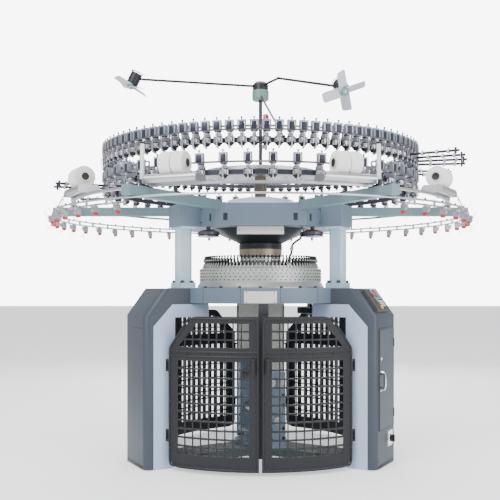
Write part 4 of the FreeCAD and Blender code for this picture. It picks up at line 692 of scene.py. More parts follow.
@dataclass(frozen=True)
class WoundYarn:
    """Yarn wound round an axis that lies along the rim at a heading.

    Attributes:
        heading: the package's heading, in degrees.
        radius: distance of its axis from the machine's axis.
        height: height of its axis.
        colour: the yarn's colour.
        shadow: colour in the valleys of the winding.
    """

    heading: float
    radius: float
    height: float
    colour: Colour = (0.92, 0.91, 0.89)
    shadow: Colour = (0.68, 0.67, 0.65)

    def __call__(self, tree: bpy.types.NodeTree) -> bpy.types.NodeSocket:
        """The colour's socket."""
        turn = math.radians(self.heading)
        centre = (self.radius * math.cos(turn), self.radius * math.sin(turn), self.height)
        along = object_axis(tree, (-math.sin(turn), math.cos(turn), 0.0), centre)
        stretched = tree.nodes.new("ShaderNodeMath")
        stretched.operation = "MULTIPLY"
        tree.links.new(along, stretched.inputs[0])
        stretched.inputs[1].default_value = 330.0
        texture = tree.nodes.new("ShaderNodeTexNoise")
        texture.noise_dimensions = "1D"
        texture.inputs["Detail"].default_value = 3.0
        texture.inputs["Scale"].default_value = 1.0
        tree.links.new(stretched.outputs[0], texture.inputs["W"])
        ramp = tree.nodes.new("ShaderNodeValToRGB")
        ramp.color_ramp.elements[0].position, ramp.color_ramp.elements[0].color = 0.30, (*self.shadow, 1.0)
        ramp.color_ramp.elements[1].position, ramp.color_ramp.elements[1].color = 0.55, (*self.colour, 1.0)
        tree.links.new(texture.outputs["Fac"], ramp.inputs[0])
        return ramp.outputs[0]


YARN = Finish("wound_yarn", (0.80, 0.79, 0.76), Skin.MOULDED, rough=0.85, dust=0.0, relief=0.3)
LENSES = Finish("tower_lenses", (0.5, 0.5, 0.5), Skin.MOULDED, rough=0.18, coat=0.7, dust=0.0, relief=0.02)
POLE_FOOT = Finish("pole_and_foot", (0.02, 0.02, 0.02), rough=0.4, coat=0.1)
FAN = Finish("fan_blades", BLADE.colour, Skin.MOULDED, rough=0.42, dust=0.15)

TOWER_BANDS = HeightBands(2.30, 2.60, ((2.30, (0.30, 0.31, 0.32)), (2.398, (0.02, 0.42, 0.14)),
                                       (2.4505, (0.24, 0.25, 0.26)), (2.478, (0.80, 0.34, 0.02)),
                                       (2.531, (0.72, 0.02, 0.03))))
POLE_BANDS = HeightBands(1.80, 2.80, ((1.80, (0.20, 0.15, 0.10)), (2.10, POLE.colour)))

NODE_FINISH: dict[str, Finish] = {
    "base_spider": BASE, "leg_left": IRON, "leg_right": IRON, "leg_rear": IRON,
    "leg_cover_left": COVER, "leg_cover_right": COVER, "leg_cover_rear": COVER, "side_panels": PANEL,
    "control_panel": CONSOLE, "rear_guards": GATE, "gate_fittings": FITTING, "gate_left": GATE,
    "gate_right": GATE,
    "bed_ring": BED, "columns": COLUMN, "crown_beam": CROWN, "crown_dome": DOME_HIGHLIGHT, "dial_housing": FUNNEL,
    "dial_cap": BRONZE, "dial": GROUND, "cam_boxes": CAM, "cam_ring": TURNED_RING, "guide_ring": TURNED_RING,
    "yarn_carriers": CARRIER, "needle_cylinder": CYLINDER, "cylinder_gear": GEAR, "pinion_shaft": GEAR,
    "main_motor": MOTOR, "motor_pulley": GEAR, "drive_belt": BELT, "takedown_frame": TAKEDOWN,
    "takedown_gearbox": GREEN, "pull_roller_front": GRIP, "pull_roller_rear": GRIP, "batch_roller": DRAWN,
    "tape_wheel": WHEEL, "fan_gearbox": GREEN, "fan_arms": POLE, "creel_cage": RAIL, "outer_rings": CREEL,
    "creel_arms": TEAL, "feeder_bodies": HOUSING, "feeder_wheels": SPOOL, "drive_tapes": TAPE,
    "stop_units": STOP,
    "elastane_rollers": DRAWN, "work_lamps": LAMP, "cabinet_door": COVER, "main_switch": CONSOLE,
    "stop_button": RED,
    "start_button": LEAF_GREEN, "jog_button": AMBER,
}


@dataclass(frozen=True)
class Package:
    """One elastane package.

    Attributes:
        node: its CAD node.
        body: the body that it turns with.
        heading: its heading, in degrees.
    """

    node: str
    body: str
    heading: float


PACKAGES = (
    Package("elastane_package_left_outer", "package_1", -150.0),
    Package("elastane_package_left_inner", "package_2", -111.5),
    Package("elastane_package_right_inner", "package_3", -68.5),
    Package("elastane_package_right_outer", "package_4", -30.0),
)
PACKAGE_RADIUS = 1.400
PACKAGE_HEIGHT = 1.9958
FAN_CENTRES = {"fan_blades_left": (-0.997, 0.0, 2.802), "fan_blades_right": (0.552, -0.823, 2.552)}


@dataclass
class Dressing:
    """Gives every CAD node its finish.

    Attributes:
        shop: where the materials are made.
    """

    shop: Workshop

    def dress(self) -> None:
        """Dress the nodes of one finish, then the ones of several colours."""
        for node, finish in NODE_FINISH.items():
            self.cover(node, self.shop.material(finish))
        self.cover("signal_tower", self.shop.material(LENSES, TOWER_BANDS))
        self.cover("fan_pole", self.shop.material(POLE_FOOT, POLE_BANDS))
        for node, centre in FAN_CENTRES.items():
            finish = Finish(node + "_plastic", FAN.colour, FAN.skin, rough=FAN.rough, dust=FAN.dust)
            paint = HubAndBlades(centre, 0.034, (0.21, 0.38, 0.32), FAN.colour)
            self.cover(node, self.shop.material(finish, paint))
        for package in PACKAGES:
            finish = Finish(package.node + "_yarn", YARN.colour, YARN.skin, rough=YARN.rough, dust=0.0,
                            relief=0.3)
            paint = WoundYarn(package.heading, PACKAGE_RADIUS, PACKAGE_HEIGHT)
            self.cover(package.node, self.shop.material(finish, paint))

    def cover(self, node: str, material: bpy.types.Material) -> None:
        """Put a material on every slot of a node's object."""
        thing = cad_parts[node]
        if not thing.material_slots:
            thing.data.materials.append(material)
        for place in thing.material_slots:
            place.material = material
        LOG.info("%s wears %s", node, material.name)


# ---------------------------------------------------------------- room


@dataclass
class Room:
    """Pale floor, soft light and the camera.

    Attributes:
        distance: the camera's distance in front of the machine's axis.
        eye: the camera's height.
        lens: its focal length.
        shift: its shift, sideways and up.
        daylight: strength of the even light from all round.
        wall: brightness of the plain wall behind.
        floor_glow: light that the pale floor gives back by itself.
    """

    distance: float = 5.8
    eye: float = 1.27
    lens: float = 54.2
    shift: Pair = (-0.021, 0.07)
    daylight: float = 0.9
    wall: float = 8.0
    floor_glow: float = 0.6

    def build(self) -> None:
        """Lay the floor, hang the lights and set the camera."""
        self.floor()
        self.light("key", (-3.4, -5.2, 5.4), (3.6, 3.6), 420.0)
        self.light("fill", (4.6, -4.4, 3.2), (4.0, 4.0), 240.0)
        self.light("top", (0.0, 0.4, 6.4), (5.0, 5.0), 260.0)
        self.light("back", (0.5, 5.4, 3.4), (4.5, 3.0), 220.0)
        sky = bpy.data.worlds.new("room")
        sky.use_nodes = True
        tree = sky.node_tree
        glow = tree.nodes["Background"]
        glow.inputs["Color"].default_value = (0.96, 0.98, 1.0, 1.0)
        glow.inputs["Strength"].default_value = self.daylight
        wall = tree.nodes.new("ShaderNodeBackground")
        wall.inputs["Color"].default_value = (1.0, 1.0, 1.0, 1.0)
        wall.inputs["Strength"].default_value = self.wall
        seen = tree.nodes.new("ShaderNodeLightPath")
        mix = tree.nodes.new("ShaderNodeMixShader")
        tree.links.new(seen.outputs["Is Camera Ray"], mix.inputs[0])
        tree.links.new(glow.outputs[0], mix.inputs[1])
        tree.links.new(wall.outputs[0], mix.inputs[2])
        tree.links.new(mix.outputs[0], tree.nodes["World Output"].inputs["Surface"])
        bpy.context.scene.world = sky
        self.camera()

    def floor(self) -> None:
        """A wide pale floor."""
        mesh = bpy.data.meshes.new("floor")
        half = 40.0
        mesh.from_pydata([(-half, -half, 0.0), (half, -half, 0.0), (half, half, 0.0), (-half, half, 0.0)], [],
                         [(0, 1, 2, 3)])
        floor = bpy.data.objects.new("floor", mesh)
        bpy.context.scene.collection.objects.link(floor)
        material = bpy.data.materials.new("pale_floor")
        material.use_nodes = True
        shader = material.node_tree.nodes["Principled BSDF"]
        shader.inputs["Base Color"].default_value = (0.92, 0.92, 0.92, 1.0)
        shader.inputs["Roughness"].default_value = 0.9
        shader.inputs["Emission Color"].default_value = (1.0, 1.0, 1.0, 1.0)
        shader.inputs["Emission Strength"].default_value = self.floor_glow
        mesh.materials.append(material)

    def light(self, name: str, place: Point, size: Pair, power: float) -> None:
        """Hang a soft light that faces the machine."""
        lamp = bpy.data.lights.new(name, "AREA")
        lamp.shape = "RECTANGLE"
        lamp.size, lamp.size_y = size
        lamp.energy = power
        hung = bpy.data.objects.new(name, lamp)
        hung.location = place
        hung.rotation_mode = "QUATERNION"
        hung.rotation_quaternion = (Vector((0.0, 0.0, 1.3)) - Vector(place)).to_track_quat("-Z", "Y")
        bpy.context.scene.collection.objects.link(hung)

    def camera(self) -> None:
        """Set the camera level in front of the machine."""
        eye = bpy.data.cameras.new("camera")
        eye.lens = self.lens
        eye.sensor_width = 36.0
        eye.shift_x, eye.shift_y = self.shift
        eye.clip_start, eye.clip_end = 0.1, 200.0
        held = bpy.data.objects.new("camera", eye)
        held.location = (0.0, -self.distance, self.eye)
        held.rotation_euler = (math.pi / 2, 0.0, 0.0)
        bpy.context.scene.collection.objects.link(held)
        bpy.context.scene.camera = held


# ---------------------------------------------------------------- sub-assemblies


@dataclass
class LegCabinets:
    """Trim on the three leg cabinets: seams, levelling feet and their bolts, the door's chrome handle, and
    the control panel.

    Attributes:
        shop: where the materials are made.
        headings: the legs' headings; the first two carry the front fittings.
        face: radius of the end faces.
        half_width: half the width of a cabinet.
        seam_height: where the upper and lower end covers meet.
        slope: the panel slope's lower and upper (radius, height).
        inner: radius of the front legs' inner wall below the bracket.
        bracket: height of the bracket's underside.
    """

    shop: Workshop
    headings: tuple[float, float, float] = (-150.0, -30.0, 90.0)
    face: float = 1.020
    half_width: float = 0.196
    seam_height: float = 0.972
    slope: tuple[Pair, Pair] = ((1.020, 1.057), (0.881, 1.245))
    inner: float = 0.800
    bracket: float = 1.045

    def build(self) -> None:
        """Build the cabinets' trim."""
        self.shells()
        self.seams()
        self.feet()
        self.door()
        self.panel()

    def seams(self) -> None:
        """Thin gaskets where the covers meet, and a dark kick strip at the floor."""
        strip = Form()
        strip.block((0.0024, self.half_width * 1.5, 0.0050),
                    spot(self.face + 0.0002, 0.0, self.seam_height), 0.0006)
        strip.block((0.0030, self.half_width * 1.48, 0.022), spot(self.face + 0.0006, 0.0, 0.016), 0.001)
        strip.repeated(around(h, 0.0, 0.0) for h in self.headings).piece(
            "cabinet_gaskets", self.shop.material(BLACK), "cover_grey")

    def shells(self) -> None:
        """The front legs' covers, panels and castings, open below the bracket that carries the bed."""
        cutter = Form()
        for heading in self.headings[:2]:
            cutter.block((0.300, 0.500, 1.145), around(heading, self.inner - 0.150, self.bracket - 0.5725),
                         0.0001)
        looks = {"leg_cover_left": COVER, "leg_cover_right": COVER, "side_panels": PANEL, "leg_left": IRON,
                 "leg_right": IRON}
        for node, finish in looks.items():
            made = self.notched(node, cutter).piece(node + "_shell", self.shop.material(finish), finish.name)
            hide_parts(node)
        lining = Form()
        wall = self.half_width - 0.008
        for heading in self.headings[:2]:
            at = around(heading, 0.0, 0.0)
            lining.block((0.004, wall * 2, self.bracket - 0.006), at @ spot(self.inner + 0.0022, 0.0,
                                                                            self.bracket / 2 + 0.003), 0.0008)
            lining.block((self.inner - 0.546, wall * 2, 0.004), at @ spot((self.inner + 0.546) / 2, 0.0,
                                                                         self.bracket + 0.0022), 0.0008)
        lining.piece("leg_linings", self.shop.material(PANEL), "panel_light")
        posts = Form()
        for heading in self.headings[:2]:
            for side in (-1.0, 1.0):
                posts.block((0.080, 0.050, self.bracket), around(heading, 0.0, 0.0)
                            @ spot(0.880, side * 0.124, 0.060 + self.bracket / 2), 0.006)
        posts.piece("leg_posts", self.shop.material(IRON), "leg_iron")
        switch = Form()
        at = around(self.headings[1], 0.0, 0.0)
        switch.turned(((0.0245, 0.0), (0.0310, 0.0), (0.0320, 0.002), (0.0300, 0.005), (0.0245, 0.005)),
                      at @ spot(1.0204, 0.080, 0.184) @ OUTWARD, 36, loop=True)
        switch.block((0.004, 0.090, 0.110), at @ spot(1.0192, 0.080, 0.184), 0.0015)
        switch.piece("switch_plate", self.shop.material(CHROME), "fitting_black")
        face = Form()
        face.block((0.372, 0.003, 1.060), spot(0.0, 0.5382, 0.600), 0.0010)
        face.piece("rear_leg_lining", self.shop.material(CREAM), "panel_light")

    def notched(self, node: str, cutter: Form) -> Form:
        """A node's shape with the cutter taken out of it.

        Args:
            node: the CAD node.
            cutter: what to take out.

        Returns:
            The cut shape.
        """
        whole = bpy.data.objects.new("whole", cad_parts[node].data.copy())
        tool_mesh = bpy.data.meshes.new("tool")
        tool_mesh.from_pydata(cutter.points, [], cutter.faces)
        tool = bpy.data.objects.new("tool", tool_mesh)
        for thing in (whole, tool):
            bpy.context.scene.collection.objects.link(thing)
        cut = whole.modifiers.new("notch", "BOOLEAN")
        cut.operation, cut.solver, cut.object = "DIFFERENCE", "EXACT", tool
        cut.use_self = False
        made = bpy.data.meshes.new_from_object(whole.evaluated_get(bpy.context.evaluated_depsgraph_get()))
        mesh = bmesh.new()
        mesh.from_mesh(made)
        bmesh.ops.remove_doubles(mesh, verts=mesh.verts[:], dist=1e-6)
        for thing in (whole, tool):
            data = thing.data
            bpy.data.objects.remove(thing)
            bpy.data.meshes.remove(data)
        bpy.data.meshes.remove(made)
        return Form().take(mesh, Matrix.Identity(4))

    def feet(self) -> None:
        """Levelling pads at the cabinets' inner corners."""
        one = Form()
        for side in (-1.0, 1.0):
            one.turned(((0.0, 0.001), (0.034, 0.001), (0.036, 0.006), (0.030, 0.014), (0.012, 0.018),
                        (0.012, 0.050), (0.0, 0.050)), spot(0.560, side * 0.135, 0.0), 24)
            one.hex_bolt(0.034, spot(0.560, side * 0.135, 0.030), washer=False)
        one.repeated(around(h, 0.0, 0.0) for h in self.headings).piece(
            "levelling_feet", self.shop.material(BOLT), "fitting_black")

    def door(self) -> None:
        """Trim of the service door on the right cabinet: edge gasket, lock, and the chrome pull."""
        at = around(self.headings[1], 0.0, 0.0)
        gasket = Form()
        for height in (0.268, 0.960):
            gasket.block((0.0014, 0.272, 0.0035), at @ spot(1.0259, 0.0, height), 0.0004)
        for side in (-0.137, 0.137):
            gasket.block((0.0014, 0.0035, 0.690), at @ spot(1.0259, side, 0.614), 0.0004)
        gasket.piece("door_gasket", self.shop.material(BLACK), "cover_grey", "door")
        pull = Form()
        pull.pipe(((1.026, -0.115, 0.545), (1.050, -0.115, 0.545), (1.0605, -0.115, 0.575),
                   (1.0605, -0.115, 0.642),
                   (1.050, -0.115, 0.672), (1.026, -0.115, 0.672)), 0.0052, at, 12)
        for height in (0.545, 0.672):
            pull.turned(((0.0, 0.0), (0.011, 0.0), (0.011, 0.0025), (0.007, 0.004), (0.0, 0.004)),
                        at @ spot(1.0252, -0.115, height) @ OUTWARD, 20)
        pull.piece("door_pull", self.shop.material(CHROME), "fitting_black", "door")
        lock = Form()
        lock.turned(((0.0, 0.0), (0.0125, 0.0), (0.0125, 0.003), (0.010, 0.005), (0.010, 0.003),
                     (0.0, 0.003)),
                    at @ spot(1.0253, -0.110, 0.760) @ OUTWARD, 24)
        lock.block((0.003, 0.0016, 0.012), at @ spot(1.0290, -0.110, 0.760), 0.0004)
        lock.piece("door_lock", self.shop.material(CHROME), "fitting_black", "door")

    def panel(self) -> None:
        """The control panel's screen, key pad and bezel rings on the right slope."""
        (low_r, low_z), (high_r, high_z) = self.slope
        run = Vector((high_r - low_r, 0.0, high_z - low_z)).normalized()
        out = Vector((-run.z, 0.0, run.x)) * -1.0
        middle = Vector(((low_r + high_r) / 2, -0.050, (low_z + high_z) / 2)) + out * 0.026
        frame_at = Matrix.Identity(4)
        for index, axis in enumerate((Vector((0.0, 1.0, 0.0)), run, out)):
            for row in range(3):
                frame_at[row][index] = axis[row]
        at = around(self.headings[1], 0.0, 0.0) @ Matrix.Translation(middle) @ frame_at
        screen = Form()
        screen.block((0.098, 0.062, 0.0024), at @ spot(0.046, 0.050, 0.0008), 0.0008)
        screen.piece("panel_screen", self.shop.material(SCREEN), "panel_black")
        rim = Form()
        outline = ((-0.056, -0.038), (0.056, -0.038), (0.056, 0.038), (-0.056, 0.038))
        for (x0, y0), (x1, y1) in zip(outline, (*outline[1:], outline[0])):
            size = (abs(x1 - x0) + 0.006, abs(y1 - y0) + 0.006, 0.0040)
            rim.block(size, at @ spot(0.046 + (x0 + x1) / 2, 0.050 + (y0 + y1) / 2, 0.001), 0.0010)
        rim.piece("panel_rim", self.shop.material(PLATE), "panel_black")
        keys = Form()
        for column in range(4):
            for row in range(3):
                keys.block((0.014, 0.012, 0.0040),
                           at @ spot(0.012 + column * 0.022, -0.012 - row * 0.019, 0.001), 0.0015)
        keys.piece("panel_keys", self.shop.material(WHITE), "panel_black")


@dataclass
class Gates:
    """Fittings of the two front gates.

    Attributes:
        shop: where the materials are made.
        arc_centre: distance of the leaf's arc centre behind the axis.
        arc_radius: the leaf's outer radius.
        knuckles: heights of the hinge knuckles.
        hinge: place of the right gate's hinge line.
    """

    shop: Workshop
    arc_centre: float = 0.311
    arc_radius: float = 1.140
    knuckles: tuple[float, float] = (0.235, 0.718)
    hinge: Pair = (0.6264, -0.6247)

    def build(self) -> None:
        """Build both gates' fittings."""
        for side, body in ((-1.0, "left_gate"), (1.0, "right_gate")):
            self.leaf(side, body)

    def on_leaf(self, turn: float, height: float) -> Matrix:
        """Place on the leaf's outer face: local Z points out of it."""
        return (Matrix.Translation((0.0, self.arc_centre, 0.0)) @ Matrix.Rotation(math.radians(turn - 90.0),
                                                                                  4, "Z")
                @ spot(self.arc_radius, 0.0, height) @ OUTWARD)

    def bead_runs(self) -> list[list[Pair]]:
        """Routes of the raised beads: (turn in degrees, height) points round the leaf and along its rail."""
        corners: list[Pair] = [(1.05, 0.040), (33.1, 0.040), (33.1, 0.838), (25.2, 1.045), (1.05, 1.045),
                               (1.05, 0.040)]
        rim: list[Pair] = []
        for (turn0, height0), (turn1, height1) in zip(corners, corners[1:]):
            count = 14 if abs(turn1 - turn0) > 20 else 8
            rim += [(turn0 + (turn1 - turn0) * step / count, height0 + (height1 - height0) * step / count)
                    for step in range(count)]
        rim.append(corners[-1])
        rails = [[(1.05 + 32.0 * step / 12, height) for step in range(13)] for height in (0.792, 0.822)]
        return [rim, *rails]

    def leaf(self, side: float, body: str) -> None:
        """Screws on the rim, the latch, and the hinge pins of one leaf."""
        screws = Form()
        for turn in (2.6, 10.0, 18.0, 26.0, 32.6):
            for height in (0.050, 0.806, 1.036):
                if turn < 26.0 or height < 1.0:
                    screws.socket_screw(0.0065, self.on_leaf(side * turn, height))
        for height in (0.16, 0.32, 0.48, 0.64):
            for turn in (2.6, 32.6):
                screws.socket_screw(0.0065, self.on_leaf(side * turn, height))
        name = body + "_"
        beads = Form()
        for run in self.bead_runs():
            route = [tuple(self.on_leaf(side * turn, height).translation) for turn, height in run]
            beads.pipe(route, 0.0075, Matrix.Identity(4), 12)
        beads.piece(name + "beads", self.shop.material(GATE), "gate_charcoal", body)
        screws.piece(name + "screws", self.shop.material(BOLT), "gate_charcoal", body)
        latch = Form()
        latch.block((0.060, 0.026, 0.010), self.on_leaf(side * 2.45, 0.728) @ spot(0.0, 0.0, 0.004), 0.003)
        for height in (0.684, 0.772):
            latch.turned(((0.0, 0.0), (0.012, 0.0), (0.012, 0.004), (0.009, 0.006), (0.0, 0.006)),
                         self.on_leaf(side * 2.45, height), 20)
        latch.piece(name + "latch", self.shop.material(BLACK), "fitting_black", body)
        pins = Form()
        x, y = self.hinge
        for height in self.knuckles:
            pins.turned(((0.0, -0.050), (0.0062, -0.050), (0.0062, 0.050), (0.010, 0.052), (0.010, 0.060),
                         (0.006, 0.064), (0.0, 0.064)), spot(side * x, y, height), 16)
        pins.piece(name + "hinge_pins", self.shop.material(CHROME), "fitting_black", body)


@dataclass
class TakeDown:
    """Fittings of the fabric take-down frame that turns below the cylinder.

    Attributes:
        shop: where the materials are made.
        heading: heading of the frame's own X at rest.
        column: distance of the columns from the axis.
        roller_height: height of the pull rollers.
        batch_height: height of the batch roller.
    """

    shop: Workshop
    heading: float = -71.5
    column: float = 0.350
    roller_height: float = 0.560
    batch_height: float = 0.290

    def build(self) -> None:
        """Build the frame's bearings and bolts."""
        at = around(self.heading, 0.0, 0.0)
        bearings = Form()
        bolts = Form()
        for side in (-1.0, 1.0):
            outer = side * (self.column + 0.030)
            turn = Matrix.Rotation(side * math.pi / 2, 4, "Y")
            for y, height in ((-0.033, self.roller_height), (0.033, self.roller_height),
                              (0.0, self.batch_height)):
                if side > 0 or height < 0.4:
                    bearings.turned(((0.0, 0.0), (0.030, 0.0), (0.030, 0.006), (0.022, 0.012), (0.012, 0.012),
                                     (0.010, 0.020), (0.0, 0.020)), at @ spot(outer, y, height) @ turn, 28)
            for y in (-0.048, 0.048):
                for height in (0.160, 0.230, 0.400, 0.470):
                    bolts.hex_bolt(0.016, at @ spot(outer, y, height) @ turn)
        bearings.piece("takedown_bearings", self.shop.material(DRAWN), "batch_steel", "takedown")
        bolts.piece("takedown_bolts", self.shop.material(BOLT), "fitting_black", "takedown")


@dataclass
class KnittingHead:
    """Fittings round the needle cylinder: cam screws, carrier tips, needles and the bed's seams and plate.

    Attributes:
        shop: where the materials are made.
        cams: number of cam boxes.
        cam_face: radius of their outer faces.
        screw_rows: heights of the screw rows.
        carriers: number of yarn carriers.
        needle_radius: radius of the needle circle.
        needles: number of needles shown.
        bed_radius: outer radius of the bed ring.
    """

    shop: Workshop
    cams: int = 76
    cam_face: float = 0.465
    screw_rows: tuple[float, ...] = (1.308, 1.331, 1.354, 1.377)
    carriers: int = 96
    needle_radius: float = 0.3795
    needles: int = 360
    bed_radius: float = 0.710

    def build(self) -> None:
        """Build the head's fittings."""
        self.cam_screws()
        self.cam_gaps()
        self.carrier_tips()
        self.needle_circle()
        self.bed_trim()

    def cam_screws(self) -> None:
        """Four rows of dark screws on the cam boxes."""
        one = Form()
        for index, height in enumerate(self.screw_rows):
            side = 0.0065 if index % 2 else -0.0065
            one.socket_screw(0.0046, spot(self.cam_face, side, height) @ OUTWARD)
        step = 360.0 / self.cams
        one.repeated(around(i * step, 0.0, 0.0) for i in range(self.cams)).piece(
            "cam_screws", self.shop.material(BOLT), "fitting_black")

    def cam_gaps(self) -> None:
        """Dark packing strips in the joints between the cam boxes."""
        step = 360.0 / self.cams
        one = Form()
        one.block((0.012, 0.0026, 0.094), spot(self.cam_face - 0.0075, 0.0, 1.343), 0.0005)
        one.repeated(around((i + 0.5) * step, 0.0, 0.0) for i in range(self.cams)).piece(
            "cam_packing", self.shop.material(BLACK), "fitting_black")

    def carrier_tips(self) -> None:
        """Each carrier's round head, ceramic eyelet and steel finger."""
        step = 360.0 / self.carriers
        places = [around(i * step, 0.0, 0.0) for i in range(self.carriers)]
        head = Form()
        head.turned(((0.0, 0.0), (0.0052, 0.0), (0.0052, 0.004), (0.0075, 0.006), (0.0085, 0.011),
                     (0.0070, 0.016),
                     (0.0035, 0.0185), (0.0, 0.019)), spot(0.424, 0.0, 1.4685), 14)
        head.repeated(places).piece("carrier_heads", self.shop.material(BLACK), "carrier_black")
        eyelet = Form()
        eyelet.turned(((0.0022, -0.003), (0.0046, -0.003), (0.0052, 0.0), (0.0046, 0.003), (0.0022, 0.003)),
                      spot(0.4385, 0.0, 1.452) @ OUTWARD, 12, loop=True)
        eyelet.repeated(places).piece("carrier_eyelets", self.shop.material(CERAMIC), "carrier_black")
        foot = Form()
        foot.extruded(((0.0, 0.0), (0.016, 0.0), (0.016, 0.010), (0.006, 0.034), (0.0, 0.034)), 0.0070,
                      spot(0.4285, 0.0035, 1.3985) @ Matrix.Rotation(math.pi / 2, 4, "X"), 0.0012)
        foot.repeated(places).piece("carrier_clamps", self.shop.material(CAM), "cam_aluminium")

    def needle_circle(self) -> None:
        """Latch needles that stand above the cylinder's verge."""
        one = Form()
        one.block((0.0014, 0.0012, 0.015), spot(self.needle_radius, 0.0, 1.4005), 0.0003)
        one.pipe(((self.needle_radius, 0.0, 1.407), (self.needle_radius, 0.0, 1.4105),
                  (self.needle_radius - 0.0018, 0.0, 1.4112), (self.needle_radius - 0.0024, 0.0, 1.4085)),
                  0.0004,
                 Matrix.Identity(4), 4)
        step = 360.0 / self.needles
        one.repeated(around(i * step, 0.0, 0.0) for i in range(self.needles)).piece(
            "latch_needles", self.shop.material(CHROME), "cylinder_steel", "cylinder")

    def bed_trim(self) -> None:
        """Joints of the bed ring's cover, its bare plate and its bolts."""
        joints = Form()
        joints.block((0.0026, 0.0022, 0.103), spot(self.bed_radius - 0.0006, 0.0, 1.1955), 0.0005)
        joints.repeated(around(h, 0.0, 0.0) for h in (-124, -101, -79, -56, -4, 25, 60, 120, 155, 184,
                                                      220)).piece(
            "bed_joints", self.shop.material(BLACK), "bed_blue")
        plate = Form()
        step = 4.0
        count = 4
        for index in range(-count, count):
            plate.block((0.0012, 0.0502, 0.0800),
                        around(-90.0 + (index + 0.5) * step * 0.5, self.bed_radius + 0.0004,
                                                         1.1870), 0.0003)
        plate.piece("bed_plate", self.shop.material(PLATE), "cover_grey")
        rivets = Form()
        for turn in (-7.6, 7.6):
            for height in (1.153, 1.221):
                rivets.turned(((0.0, 0.0), (0.0042, 0.0), (0.0036, 0.0016), (0.0, 0.0024)),
                              around(-90.0 + turn, self.bed_radius + 0.0009, height) @ OUTWARD, 14)
        rivets.piece("bed_plate_rivets", self.shop.material(BOLT), "fitting_black")
        bolts = Form()
        bolts.hex_bolt(0.019, spot(0.0, 0.0, 1.2490))
        bolts.repeated(around(h, 0.560, 0.0) for h in range(-165, 195, 15)).piece(
            "bed_bolts", self.shop.material(BOLT), "fitting_black")


